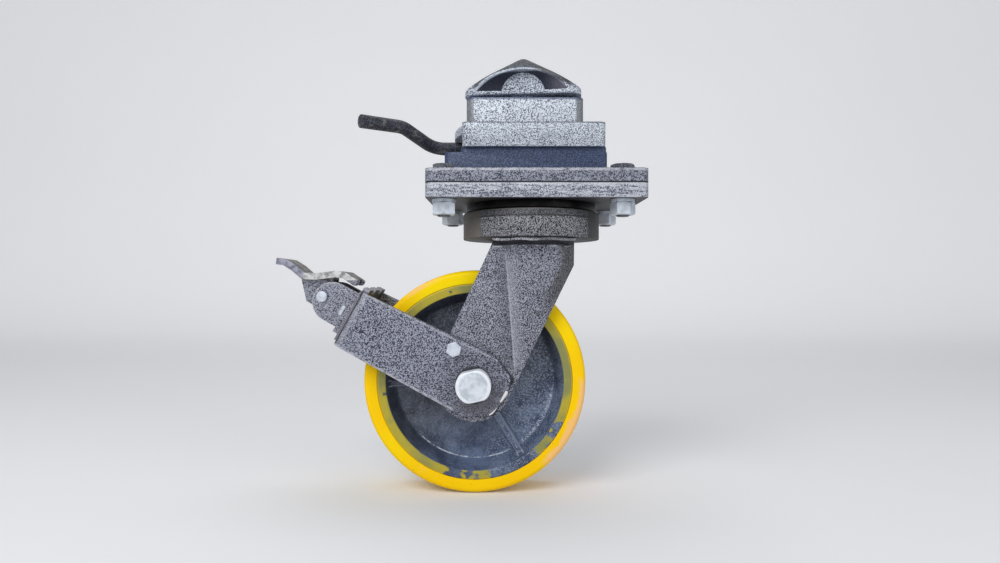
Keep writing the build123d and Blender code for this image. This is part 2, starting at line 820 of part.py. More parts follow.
# Brake frame: U shaped plate outside the fork legs, its cross plate behind the wheel
frame_in = frame_reach - arm_t
window_y = stem_half_y + 0.4
window_v = stem_half_v + 0.4
with BuildPart() as brake_frame:
    with BuildSketch(brake_top) as frame_plan:
        with Locations(((frame_reach - arm_eye - 10) / 2, 0)):
            Rectangle(frame_reach + arm_eye + 10, 2 * arm_out)
        outer_corners = frame_plan.vertices().sort_by(Axis.X)[-2:]
        fillet(outer_corners, radius=arm_round)
        with Locations(((frame_in - arm_eye - 20) / 2, 0)):
            Rectangle(frame_in + arm_eye + 20, 2 * leg_out, mode=Mode.SUBTRACT)
    extrude(amount=3 * arm_eye / 2, both=True)
    with BuildSketch(brake_side) as frame_outline:
        with BuildLine():
            Polyline(
                (frame_reach, arm_high),
                (frame_reach, -arm_low),
                (-4.6, -arm_low - 0.8),
                (-26.7, -16.5),
                (-arm_eye + 0.2, 7.4),
                (-25.8, 21.2),
                (-4.6, arm_eye + 0.6),
                close=True,
            )
        make_face()
        eye_corners = frame_outline.vertices().sort_by_distance((0, 0, 0))[:5]
        fillet(eye_corners, radius=9)
    extrude(amount=2 * arm_out, both=True, mode=Mode.INTERSECT)
    for lip_y, lip_w in ((-31.0, 18.0), (0.0, 20.0), (31.0, 18.0)):
        with BuildSketch(brake_side.offset(lip_y - lip_w / 2)):
            with Locations((frame_reach - arm_t / 2, arm_high)):
                Rectangle(arm_t, 2 * lip_h)
        extrude(amount=lip_w)
    with BuildSketch(brake_side):
        Circle(axle_r)
        with Locations((small_bolt_u, small_bolt_v)):
            Circle(small_bolt_r)
    extrude(amount=2 * arm_out, both=True, mode=Mode.SUBTRACT)
    with BuildSketch(brake_side):
        with Locations((frame_reach, 0)):
            Rectangle(3 * arm_t, 2 * window_v)
    extrude(amount=window_y, both=True, mode=Mode.SUBTRACT)
brake_frame.part.label = "brake_frame"
export_step(brake_frame.part, "parts/brake_frame.step")

# Two small bolts that hold the brake frame to the fork legs
with BuildPart() as frame_bolts:
    for side in (1, -1):
        with BuildSketch(brake_side.offset(side * fork_half)):
            with Locations((small_bolt_u, small_bolt_v)):
                Circle(small_bolt_r)
        extrude(amount=side * (arm_out - fork_half))
        with BuildSketch(brake_side.offset(side * arm_out)):
            with Locations((small_bolt_u, small_bolt_v)):
                RegularPolygon(small_bolt_flat, 6, major_radius=False)
        extrude(amount=side * small_bolt_h)
frame_bolts.part.label = "frame_bolts"
export_step(frame_bolts.part, "parts/frame_bolts.step")

# Brake bracket: two cheeks with rounded ends on a wide foot, welded to the cross plate
pivot_u = frame_reach + pivot_gap
bar_u = frame_reach + bar_gap
cap_u = pivot_u - 10.5
tab_u = frame_reach + tab_gap
with BuildPart() as brake_bracket:
    with BuildSketch(brake_side):
        with Locations(((frame_reach + cap_u) / 2, 0)):
            Rectangle(cap_u - frame_reach, 2 * cheek_r)
        with Locations((cap_u, 0)):
            Circle(cheek_r)
        with Locations((tab_u, -cheek_r)):
            Rectangle(5.4, 10)
    extrude(amount=cheek_half, both=True)
    with BuildSketch(brake_side):
        with Locations((frame_reach, foot_edge - arm_low)):
            Rectangle(foot_t, arm_low + arm_high - 2 * foot_edge, align=(Align.MIN, Align.MIN))
    extrude(amount=foot_half, both=True)
    with BuildSketch(brake_side):
        with Locations((frame_reach + foot_t, 0)):
            Rectangle(2 * pivot_gap, 4 * cheek_r, align=(Align.MIN, Align.CENTER))
    extrude(amount=cheek_half - cheek_t, both=True, mode=Mode.SUBTRACT)
    with BuildSketch(brake_side):
        with Locations((frame_reach, 0)):
            Rectangle(4 * foot_t, 2 * window_v)
    extrude(amount=window_y, both=True, mode=Mode.SUBTRACT)
    with BuildSketch(brake_side):
        with Locations((pivot_u, 0)):
            Circle(pivot_r)
        with Locations((bar_u, -bar_drop)):
            Rectangle(bar_t, bar_w)
    extrude(amount=2 * cheek_half, both=True, mode=Mode.SUBTRACT)
brake_bracket.part.label = "brake_bracket"
export_step(brake_bracket.part, "parts/brake_bracket.step")

# Guide bar through both cheeks and the slot of the shoe
with BuildPart() as brake_guide_bar:
    with BuildSketch(brake_side):
        with Locations((bar_u, -bar_drop)):
            Rectangle(bar_t, bar_w)
    extrude(amount=cheek_half + 0.8, both=True)
brake_guide_bar.part.label = "brake_guide_bar"
export_step(brake_guide_bar.part, "parts/brake_guide_bar.step")

# Pivot pin of the pedal, riveted at both ends
with BuildPart() as brake_pivot:
    with BuildSketch(brake_side):
        with Locations((pivot_u, 0)):
            Circle(pivot_r)
    extrude(amount=cheek_half, both=True)
    for side in (1, -1):
        with BuildSketch(brake_side.offset(side * cheek_half)):
            with Locations((pivot_u, 0)):
                Circle(pivot_head_r)
        extrude(amount=side * pivot_head_h)
brake_pivot.part.label = "brake_pivot"
export_step(brake_pivot.part, "parts/brake_pivot.step")

# Brake pedal: bent plate on two inner cheeks with a round cam between them
# Places on the pedal are told from its pivot, to the right and up
pivot_x = axle_x - pivot_u * math.cos(tilt)
pivot_z = axle_z + pivot_u * math.sin(tilt)
pedal_side = Plane(origin=(pivot_x, 0, pivot_z), x_dir=(1, 0, 0), z_dir=(0, -1, 0))
cheek_out = cheek_half - cheek_t - side_gap
cam_angle = -tilt - math.radians(90 + brake_turn / 2)
with BuildPart() as brake_pedal:
    with BuildSketch(pedal_side):
        with BuildLine():
            FilletPolyline(
                (-pedal_toe_reach, pedal_rise + pedal_toe_rise),
                (-0.82 * pedal_toe_reach, pedal_rise + 0.92 * pedal_toe_rise),
                (-0.63 * pedal_toe_reach, pedal_rise + 0.57 * pedal_toe_rise),
                (-0.42 * pedal_toe_reach, pedal_rise + 0.03 * pedal_toe_rise),
                (-0.13 * pedal_toe_reach, pedal_rise),
                (0.366 * pedal_heel_reach, pedal_rise + pedal_crown),
                (0.62 * pedal_heel_reach, pedal_rise + pedal_crown / 2),
                (pedal_heel_reach, pedal_rise - pedal_heel_drop),
                radius=pedal_bend_r,
            )
        trace(line_width=pedal_t)
    extrude(amount=pedal_w / 2, both=True)
    heel_edges = brake_pedal.edges().filter_by(Axis.Y).sort_by(Axis.X)[-2:]
    fillet(heel_edges, radius=pedal_heel_round)
    with BuildSketch(pedal_side):
        with BuildLine():
            Polyline(
                (-pedal_cheek_reach, pedal_rise),
                (-0.755 * pedal_cheek_reach, -0.49 * pedal_cheek_drop),
                (-0.41 * pedal_cheek_reach, -pedal_cheek_drop),
                (0, 0),
                (pedal_cheek_r, 0),
                (pedal_cheek_r, pedal_rise),
                close=True,
            )
        make_face()
        Circle(pedal_cheek_r)
        Circle(pivot_r + running_fit, mode=Mode.SUBTRACT)
    extrude(amount=cheek_out, both=True)
    with BuildSketch(pedal_side):
        with BuildLine():
            Polyline(
                (-pedal_toe_reach, pedal_rise - pedal_t / 2),
                (pedal_toe_reach, pedal_rise - pedal_t / 2),
                (pedal_toe_reach, -pedal_toe_reach),
                (-pedal_toe_reach, -pedal_toe_reach),
                close=True,
            )
        make_face()
    extrude(amount=cheek_out - pedal_cheek_t, both=True, mode=Mode.SUBTRACT)
    with BuildSketch(pedal_side):
        with Locations((cam_offset * math.cos(cam_angle), cam_offset * math.sin(cam_angle))):
            Circle(cam_r)
        Circle(cam_hub_r, mode=Mode.INTERSECT)
        Circle(pivot_r + running_fit, mode=Mode.SUBTRACT)
    extrude(amount=cheek_out - pedal_cheek_t, both=True)
brake_pedal.part.label = "brake_pedal"
export_step(brake_pedal.part, "parts/brake_pedal.step")

# Brake shoe: curved pad in front of the cross plate, stem through its window to the cam
cam_rest = cam_r - cam_offset * math.sin(math.radians(brake_turn / 2))
brake_travel = 2 * cam_offset * math.sin(math.radians(brake_turn / 2))
stem_end = pivot_u - cam_rest - side_gap / 3
pad_r = wheel_r + shoe_clear
with BuildPart() as brake_shoe:
    with BuildSketch(brake_side):
        with Locations((pad_r + shoe_t / 2 - 2, 0)):
            Rectangle(shoe_t + 4, 2 * shoe_half_v)
        Circle(pad_r, mode=Mode.SUBTRACT)
    extrude(amount=shoe_half_y, both=True)
    with BuildSketch(brake_side):
        with Locations(((pad_r + 3 + stem_end) / 2, 0)):
            Rectangle(stem_end - pad_r - 3, 2 * stem_half_v)
    extrude(amount=stem_half_y, both=True)
    with BuildSketch(brake_side):
        with Locations((bar_u + brake_travel / 2, -bar_drop)):
            Rectangle(bar_t + brake_travel + 2 * side_gap, bar_w + 2 * side_gap)
    extrude(amount=2 * stem_half_y, both=True, mode=Mode.SUBTRACT)
brake_shoe.part.label = "brake_shoe"
export_step(brake_shoe.part, "parts/brake_shoe.step")
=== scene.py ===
import math

import bmesh
import bpy
import numpy as np
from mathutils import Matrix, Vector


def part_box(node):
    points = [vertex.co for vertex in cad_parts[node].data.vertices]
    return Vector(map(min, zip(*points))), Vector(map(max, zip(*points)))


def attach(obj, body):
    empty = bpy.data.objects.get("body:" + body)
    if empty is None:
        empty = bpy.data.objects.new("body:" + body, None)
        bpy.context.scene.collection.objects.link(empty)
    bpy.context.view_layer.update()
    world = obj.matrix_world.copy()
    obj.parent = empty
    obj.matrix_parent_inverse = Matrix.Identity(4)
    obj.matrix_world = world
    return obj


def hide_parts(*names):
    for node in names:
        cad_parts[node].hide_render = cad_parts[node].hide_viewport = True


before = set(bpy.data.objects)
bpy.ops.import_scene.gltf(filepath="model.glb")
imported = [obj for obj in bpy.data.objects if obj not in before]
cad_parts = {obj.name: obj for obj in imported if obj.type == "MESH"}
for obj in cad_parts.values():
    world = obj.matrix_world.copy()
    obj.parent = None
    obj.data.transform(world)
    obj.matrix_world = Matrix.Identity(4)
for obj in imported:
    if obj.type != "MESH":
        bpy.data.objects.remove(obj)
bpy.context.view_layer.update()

MM = 0.001
MICRON = 1e-6
UP = np.array([0, 0, 1])
RIGHT = np.array([1, 0, 0])
NEAR = np.array([0, -1, 0])
FAR = -NEAR

# Wheel, measured from its axle
TREAD_LOW, TREAD_HIGH = np.array(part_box("wheel_tread"))
AXLE = (TREAD_LOW + TREAD_HIGH) / 2
AXLE_R = 10 * MM
WHEEL_R = (TREAD_HIGH[2] - TREAD_LOW[2]) / 2
TREAD_HALF = TREAD_HIGH[1]
FLOOR_Z = TREAD_LOW[2]
RIM_R = 88.9 * MM
RIM_BORE_R = 81 * MM
RIM_HALF = 24.6 * MM
DISC_R = 74 * MM
DISC_HALF = 8 * MM
HUB_R = 28.5 * MM
HUB_HALF = 29.5 * MM
HUB_BORE_R = 19.5 * MM
SEAT_R = 23.5 * MM
SEAT_FLOOR = 15.2 * MM
RIB_TOP = 16.6 * MM
RIB_FLAT = 2.6 * MM
RIB_ANGLES = np.radians([-58, 62, 182])

# Ring, leg and weld; the leg's fold and right edge are told from the axle
CROWN_LOW, CROWN_HIGH = np.array(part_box("fork_crown"))
CROWN_R = (CROWN_HIGH[0] - CROWN_LOW[0]) / 2
SWIVEL_X = (CROWN_LOW[0] + CROWN_HIGH[0]) / 2
LIP_Z = CROWN_HIGH[2] - 6.4 * MM
WELD_Z = CROWN_LOW[2] - MM
LEG_OUT = 38 * MM
FOLD_TOP = (26.9 * MM, 129.9 * MM)
FOLD_LOW = (36 * MM, 11.6 * MM)
LEG_TOP_RIGHT = 88.8 * MM
LEG_LOW_RIGHT = 42.6 * MM

# Brake, told from the axle along its arm and across it
BRAKE_TILT = math.radians(28.76)
ALONG = np.array([-math.cos(BRAKE_TILT), 0, math.sin(BRAKE_TILT)])
ACROSS = np.array([math.sin(BRAKE_TILT), 0, math.cos(BRAKE_TILT)])
ARM_OUT = 44 * MM
ARM_LOW = 28.4 * MM
ARM_HIGH = 24.1 * MM
ARM_REACH = 126.6 * MM
FOOT_REACH = 129.6 * MM
PIVOT_REACH = 150 * MM
CHEEK_R = 18.5 * MM
PIVOT = np.array(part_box("brake_pivot")).mean(axis=0)
ARM_END = 28.2 * MM
# The arm's other sides round the axle: the way out of each, told away from the pedal and up across
# the arm, and its distance in mm
ARM_SIDES = [(0.349, 0.937, 28.9), (-0.038, 0.999, 28.9), (0.498, -0.867, 27.6), (0, -1, 28.9)]

# Plates, lever and fasteners
LOCK_LOW, LOCK_TOP = np.array(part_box("lock_plate"))[:, 2]
PLATE_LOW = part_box("caster_plate")[0].z
LEVER_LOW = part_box("lock_lever")[0].x
BOLT_X = 77.5 * MM
BOLT_Y = 52.5 * MM
BOLT_R = 6 * MM
BOLT_PLACES = [(SWIVEL_X + sx * BOLT_X, sy * BOLT_Y) for sx in (-1, 1) for sy in (-1, 1)]
NUT_HALF = 9.5 * MM
NUT_TURNS = (4, 33, 26, 13)
LARGE_NUT_HALF = 15 * MM
SMALL_BOLT_HALF = 5.9 * MM
SMALL_BOLT_PLACE = AXLE + 30.4 * MM * ALONG + 19.3 * MM * ACROSS

# Lock head, told in its own axes, and the pocket in each of its long sides
HEAD_TURN = math.radians(-6.5)
HEAD_RISE = 28.5 * MM
HEAD_HALF_L = 53.5 * MM
HEAD_HALF_W = 25.5 * MM
HEAD_SHOULDER = 33.3 * MM
HEAD_TOP = 64.5 * MM
HEAD_ROUND = 9 * MM
BROW_Z = 46 * MM
BROW_LEAN = 13 / 18.5
SHAFT_R = 19 * MM
POCKET_BACK = 0.63 * SHAFT_R
POCKET_FLOOR = 32.5 * MM
POCKET_HALF = 43 * MM
POCKET_RISE = 20.6 * MM
ARCH_R = (POCKET_HALF**2 + POCKET_RISE**2) / (2 * POCKET_RISE)
ARCH_MID_Z = POCKET_FLOOR + POCKET_RISE - ARCH_R

# How many flakes of hammered paint stand on a metre
FLAKE_SCALE = 1350

PHOTO_WIDTH_PX = 1000
PHOTO_FOCUS_PX = 689
PHOTO_PLACE = (-0.0181, -0.650, -0.1421)


def placed(name, data):
    """A new object in the scene that shows a mesh, a lamp or a camera."""
    obj = bpy.data.objects.new(name, data)
    bpy.context.collection.objects.link(obj)
    return obj


# Camera: level, square to the object's front, where the photograph was taken
eye = bpy.data.cameras.new("eye")
eye.sensor_width = 36
eye.lens = PHOTO_FOCUS_PX / PHOTO_WIDTH_PX * eye.sensor_width
eye.shift_x = -0.005
eye.shift_y = 0.0005
camera = placed("camera", eye)
camera.location = PHOTO_PLACE
camera.rotation_euler = (math.radians(90), 0, 0)
bpy.context.scene.camera = camera
bpy.context.scene.view_settings.view_transform = "Standard"


# Shader maths


def colour(r, g, b):
    """The shader's linear colour for a colour read off the photograph in steps of 255."""
    parts = np.array([r, g, b]) / 255
    linear = np.where(parts <= 0.04045, parts / 12.92, ((parts + 0.055) / 1.055) ** 2.4)
    return (*[float(p) for p in linear], 1)


def joined_by(operation, swapped=False):
    """A method that joins two numbers by one operation of the Math node."""

    def method(self, other):
        return self.maths(operation, *((other, self) if swapped else (self, other)))

    return method


class Value:
    """A number in a shader that is added, multiplied and compared like a plain number."""

    def __init__(self, finish, socket):
        self.finish = finish
        self.socket = socket

    def maths(self, operation, first, second=0):
        node = self.finish.node("ShaderNodeMath", {"operation": operation}, {0: first, 1: second})
        return Value(self.finish, node.outputs[0])

    __add__ = joined_by("ADD")
    __radd__ = joined_by("ADD", swapped=True)
    __sub__ = joined_by("SUBTRACT")
    __rsub__ = joined_by("SUBTRACT", swapped=True)
    __mul__ = joined_by("MULTIPLY")
    __truediv__ = joined_by("DIVIDE")
    __pow__ = joined_by("POWER")
    more = joined_by("MAXIMUM")
    less = joined_by("MINIMUM")

    def __neg__(self):
        return self * -1

    def size(self):
        return self.maths("ABSOLUTE", self)

    def far(self, other):
        """Distance from the middle, the two numbers being told along square axes."""
        return (self * self + other * other) ** 0.5

    def band(self, middle, half, soft):
        """1 within half of the middle, falling smoothly to 0 over soft."""
        return (self - middle).size().fall(half, half + soft)

    def ramp(self, low, high):
        """0 below low, 1 above high and a smooth rise between."""
        settings = {"interpolation_type": "SMOOTHSTEP"}
        inputs = {"Value": self, "From Min": low, "From Max": high}
        node = self.finish.node("ShaderNodeMapRange", settings, inputs)
        return Value(self.finish, node.outputs["Result"])

    def fall(self, low, high):
        """1 below low, 0 above high and a smooth fall between."""
        return 1 - self.ramp(low, high)


class Finish:
    """One material: a Principled shader with what feeds it."""

    def __init__(self, name):
        self.material = bpy.data.materials.new(name)
        self.material.use_nodes = True
        self.tree = self.material.node_tree
        self.tree.nodes.clear()
        self.shader = self.node("ShaderNodeBsdfPrincipled")
        self.node("ShaderNodeOutputMaterial", {}, {"Surface": self.shader.outputs[0]})
        self.place = self.node("ShaderNodeTexCoord").outputs["Object"]

    def node(self, kind, settings=None, inputs=None):
        node = self.tree.nodes.new(kind)
        for key, value in (settings or {}).items():
            setattr(node, key, value)
        for key, value in (inputs or {}).items():
            self.feed(node.inputs[key], value)
        return node

    def feed(self, socket, value):
        value = getattr(value, "socket", value)
        if isinstance(value, bpy.types.NodeSocket):
            self.tree.links.new(value, socket)
        else:
            socket.default_value = value

    def noise(self, scale, detail=2, roughness=0.5, place=None):
        inputs = {"Vector": place or self.place, "Scale": scale}
        inputs.update(Detail=detail, Roughness=roughness)
        return Value(self, self.node("ShaderNodeTexNoise", {}, inputs).outputs["Fac"])

    def mix(self, factor, first, second):
        """From the first colour to the second; one of three numbers is told in steps of 255."""
        plain = [isinstance(t, tuple) and len(t) == 3 for t in (first, second)]
        tones = [colour(*t) if p else t for t, p in zip((first, second), plain)]
        inputs = {0: factor, 6: tones[0], 7: tones[1]}
        return self.node("ShaderNodeMix", {"data_type": "RGBA"}, inputs).outputs[2]

    def axes(self, centre, turn=(0, 0, 0)):
        """The place on the object told from another centre and along other axes, taken apart."""
        inputs = {"Vector": self.place, "Location": tuple(centre), "Rotation": turn}
        mapping = self.node("ShaderNodeMapping", {"vector_type": "TEXTURE"}, inputs)
        return self.parts(mapping.outputs[0])

    def drawn(self, *scale):
        """The place with its axes scaled, so that noise is drawn out along the small ones."""
        inputs = {"Vector": self.place, "Scale": scale}
        return self.node("ShaderNodeMapping", {"vector_type": "POINT"}, inputs).outputs[0]

    def parts(self, vector):
        split = self.node("ShaderNodeSeparateXYZ", {}, {0: vector})
        return [Value(self, out) for out in split.outputs]

    def bump(self, height, strength, distance):
        inputs = {"Height": height, "Strength": strength, "Distance": distance}
        self.feed(self.shader.inputs["Normal"], self.node("ShaderNodeBump", {}, inputs).outputs[0])

    def set(self, **inputs):
        for key, value in inputs.items():
            self.feed(self.shader.inputs[key.replace("_", " ")], value)

    def over(self, mask, tone):
        """Lays a colour over what is there, as far as the mask goes."""
        self.shade = self.mix(mask, self.shade, tone)

    def speckle(self, dark, light, body=0.5, soft=0.045):
        """Light flakes on a dark ground, with wide clouds of the one or the other."""
        self.grain = self.noise(FLAKE_SCALE, 0) * 0.7 + self.noise(FLAKE_SCALE * 0.6, 0) * 0.3
        cloud = self.noise(34, 4, 0.6) - 0.5
        sway = (self.noise(17, 3, 0.6) - 0.5) * 0.06
        self.flake = (self.grain + sway).ramp(body - soft, body + soft)
        self.shade = self.mix(self.flake, dark, light)
        self.over((cloud * 0.4).more(0), light)
        self.over((cloud * -0.6).more(0), dark)

    def laid(self, bite=0.3):
        """The speckled paint's material, its gloss and hammered surface set."""
        gloss = {"Metallic": self.flake * 0.15, "Roughness": 0.58 - self.flake * 0.12}
        self.set(Base_Color=self.shade, **gloss)
        self.bump(self.grain, bite, 0.25 * MM)
        return self.material


def hammer_paint(name, dark, light, body=0.5, bite=0.3, soft=0.045):
    """Hammered paint, the same all over."""
    f = Finish(name)
    f.speckle(dark, light, body, soft)
    return f.laid(bite)


def head_coat(name):
    """Forged head: painted shade on the roof, a painted highlight on the arch round each pocket,
    painted shade on the pocket's flanks, lighter on the right where light falls, and a speckled
    back wall."""
    f = Finish(name)
    along, deep, up = f.axes((0, 0, 0), (0, 0, HEAD_TURN))
    f.speckle((58, 66, 82), (216, 224, 236), 0.49)
    reach = along.far(up - ARCH_MID_Z)
    cloud = f.noise(120, 3, 0.6)
    lit = along.ramp(14 * MM, 40 * MM)
    # Painted shade on the pocket's flanks, made lighter towards the right where light falls (lit)
    smooth = f.mix(cloud, (2, 6, 24), (14, 24, 52))
    smooth = f.mix(lit, smooth, f.mix(cloud, (64, 64, 78), (118, 116, 128)))
    # Painted shade on the roof, and over the arch's rim on the right (lee)
    roof_shade = f.mix(f.flake * 0.35, (44, 46, 52), (84, 87, 94))
    inside = reach.fall(ARCH_R - 1.6 * MM, ARCH_R - 0.4 * MM)
    flank = deep.size().ramp(POCKET_BACK + 0.5 * MM, POCKET_BACK + 1.1 * MM)
    open_part = inside * up.ramp(POCKET_FLOOR - 0.2 * MM, POCKET_FLOOR + 0.3 * MM)
    f.over(open_part * flank * 0.97, smooth)
    end = (along.size() - 43 * MM).ramp(0, 3 * MM) * up.fall(40 * MM, 46 * MM)
    above = reach.ramp(ARCH_R + 0.8 * MM, ARCH_R + 2 * MM) * up.ramp(31 * MM, 36 * MM)
    f.over(above * (1 - end * 0.8) * 0.9, roof_shade)
    # Painted highlight along the arch's rounded rim, fading out towards the right
    rim = reach.band(ARCH_R - 0.1 * MM, 0.5 * MM, 0.9 * MM)
    rim = rim * up.ramp(POCKET_FLOOR, POCKET_FLOOR + 2 * MM)
    lee = along.ramp(6 * MM, 20 * MM) * reach.ramp(ARCH_R - 1.4 * MM, ARCH_R - 0.4 * MM)
    f.over(lee * up.ramp(36.5 * MM, 39 * MM) * 0.85, roof_shade)
    fade = 1 - along.ramp(2 * MM, 18 * MM) * 0.96
    f.over(rim * fade * (0.2 + f.noise(120) * 0.6), (186, 194, 208))
    return f.laid()


def housing_coat(name):
    """Bright hammered paint: the collar a little lighter, with painted shade on its rounded
    corners, painted shade in the crease at its foot and a painted shadow of the head along its top."""
    f = Finish(name)
    along, _, up = f.parts(f.place)
    f.speckle((34, 42, 60), (214, 222, 232), 0.465)
    f.over(up.ramp(-MM, MM) * 0.12, (224, 230, 240))
    # Painted shade on the collar's rounded corners
    corner = along.size().ramp(45.5 * MM, 47 * MM) * up.ramp(0, 0.5 * MM)
    f.over(corner * 0.75, (96, 97, 100))
    # Painted shadow of the head along the collar's top
    top = up.ramp(21 * MM, 24 * MM)
    f.over(top * 0.85, (44, 60, 98))
    # Painted shade in the crease at the collar's foot
    crease = up.band(-0.4 * MM, 0.35 * MM, 0.5 * MM)
    f.over(crease * 0.7, (52, 58, 74))
    return f.laid()


def plate_coat(name, dark, light, top_z, low_z, streak):
    """Paint on a flame cut plate: rubbed along its edges with a painted highlight there, streaked
    lengthways, painted shade in the seam between the two plates and underneath, darkest round the
    ring."""
    f = Finish(name)
    along, deep, up = f.parts(f.place)
    f.speckle(dark, light)
    lines = f.noise(640, 3, 0.6, f.drawn(0.1, 0.1, 1))
    f.over(lines.ramp(0.5, 0.62) * streak, (208, 211, 220))
    f.over(lines.fall(0.38, 0.46) * streak, (92, 96, 112))
    # Worn paint and a painted highlight along the top and bottom edges
    rub_and_highlight = up.band(top_z - 1.5 * MM, 0.5 * MM, 0.9 * MM) * f.noise(130, 3, 0.6).ramp(0.25, 0.6)
    foot = up.band(low_z + 0.8 * MM, 0.5 * MM, 0.8 * MM) * f.noise(210, 3, 0.6).ramp(0.45, 0.6)
    f.over(rub_and_highlight.more(foot * streak * 1.6) * 0.65, (200, 202, 208))
    # Painted shade in the seam between the two plates
    seam = up.band(LOCK_LOW, 0.55 * MM, 0.35 * MM)
    f.over(seam * 0.92, (20, 22, 30))
    # Painted shade on the underside, darkest round the ring
    below = up.fall(low_z + 0.25 * MM, low_z + 0.6 * MM)
    below = below * deep.size().fall(67.5 * MM, 69 * MM)
    middle = (78 * MM - (along - SWIVEL_X).size()).ramp(0, 26 * MM)
    under = f.mix(middle, (32, 31, 30), (5, 5, 7))
    f.over(below * 0.95, under)
    return f.laid()


def ring_coat(name):
    """Forged ring: speckled in front, a plain brownish painted reflection on its left side and
    painted shade on its right, painted shade on its upper lip and in the line below it, a painted
    highlight on the lip's top edge, and painted shade on its underside."""
    f = Finish(name)
    along, _, up = f.parts(f.place)
    f.speckle((6, 6, 10), (152, 152, 159), 0.515)
    off = along - SWIVEL_X
    # Painted shade on the upper lip
    f.over(up.ramp(LIP_Z, LIP_Z + 0.5 * MM) * 0.6, (46, 46, 52))
    # Painted reflection on the left side, lighter low down, and painted shade on the right side
    side = (off.size() - off.ramp(-MM, MM) * 3 * MM).ramp(CROWN_R * 0.70, CROWN_R * 0.74)
    left = f.mix(up.ramp(CROWN_LOW[2], CROWN_HIGH[2]), (112, 105, 98), (82, 78, 74))
    f.over(side * 0.92, f.mix(off.ramp(-MM, MM), left, (56, 56, 54)))
    # Painted shade in the step below the upper lip
    line = up.band(LIP_Z, 0.45 * MM, 0.45 * MM) * (1 - side * 0.7)
    f.over(line * 0.8, (22, 21, 24))
    # Painted shade on the underside
    under = up.fall(CROWN_LOW[2] + 0.1 * MM, CROWN_LOW[2] + 0.5 * MM)
    f.over(under * 0.95, (22, 20, 22))
    # Painted highlight along the lip's top edge
    lip = up.band(CROWN_HIGH[2] - 0.5 * MM, 0.35 * MM, 0.4 * MM)
    f.over(lip * 0.6, (150, 146, 140))
    return f.laid()


def leg_coat(name):
    """Leg: a painted highlight on the fold, painted shade in the hollow beside it and painted light
    on the facet past it, painted shade along the right edge and under the weld, a broken painted
    highlight below the weld and a painted shadow round the end of the brake frame's arm, by the
    largest of the distances outside the arm's five sides."""
    f = Finish(name)
    along, _, up = f.axes(AXLE)
    f.speckle((36, 37, 48), (160, 162, 176))
    rise = (up - FOLD_LOW[1]) / (FOLD_TOP[1] - FOLD_LOW[1])
    fold = along - (rise * (FOLD_TOP[0] - FOLD_LOW[0]) + FOLD_LOW[0])
    live = rise.ramp(-0.02, 0.06) * (1 - rise.ramp(0.72, 0.95) * 0.8)
    # Painted shade in the hollow left of the fold
    hollow = fold.ramp(-16 * MM, -MM) * fold.fall(-MM, 0)
    f.over(hollow * live * 0.4, (56, 57, 68))
    # Painted light on the facet right of the fold
    glow = fold.ramp(0, 0.6 * MM) * fold.fall(MM, 13 * MM)
    f.over(glow * live * 0.4, (168, 170, 182))
    # Painted shade along the right edge, where the leg curves away
    edge_x = (rise * (LEG_TOP_RIGHT - LEG_LOW_RIGHT) * 1.26 + LEG_LOW_RIGHT).less(LEG_TOP_RIGHT)
    darkened = (along - edge_x).ramp(-17 * MM, -7 * MM) * rise.ramp(0.35, 0.7)
    f.over(darkened * 0.88, f.mix(f.flake, (44, 44, 47), (88, 88, 88)))
    # Painted highlight along the fold
    line = fold.band(0.2 * MM, 0.35 * MM, 0.5 * MM) * live
    f.over(line * 0.45, (190, 192, 200))
    sway = (f.noise(70) - 0.5) * 2 * MM
    # Painted shade under the weld
    under_weld = (up + sway).ramp(FOLD_TOP[1] - 6.9 * MM, FOLD_TOP[1] - 6.3 * MM)
    f.over(under_weld * 0.9, (26, 27, 36))
    glint = (up + sway).band(FOLD_TOP[1] - 7.5 * MM, 0.3 * MM, 0.5 * MM)
    f.over(glint * f.noise(110).ramp(0.48, 0.6) * 0.8, (214, 216, 222))
    # Painted shadow round the end of the brake frame's arm
    away, _, rising = f.axes(AXLE, (0, BRAKE_TILT, 0))
    outside = away - ARM_END
    for out, across, reach in ARM_SIDES:
        outside = outside.more(away * out + rising * across - reach * MM)
    f.over(outside.fall(0.6 * MM, 2.4 * MM) * 0.85, (24, 24, 32))
    return f.laid()


def weld_coat(name):
    """Weld: a bright crest, darker to the right, painted shade where it meets the ring and the leg.
    """
    f = Finish(name)
    along, _, up = f.parts(f.place)
    f.speckle((96, 98, 108), (226, 228, 234), 0.46)
    dim = along.ramp(9 * MM, 13 * MM)
    f.over(dim * 0.6, (96, 96, 100))
    sway = (f.noise(60) - 0.5) * 2.4 * MM
    # Painted shade on the bead above and below its crest
    crest = (up - sway).ramp(CROWN_LOW[2] - 3 * MM, CROWN_LOW[2] - 2.2 * MM)
    crest = crest * (up - sway).fall(CROWN_LOW[2] - 0.8 * MM, CROWN_LOW[2] - 0.2 * MM)
    f.shade = f.mix(crest, (26, 27, 36), f.shade)
    return f.laid()


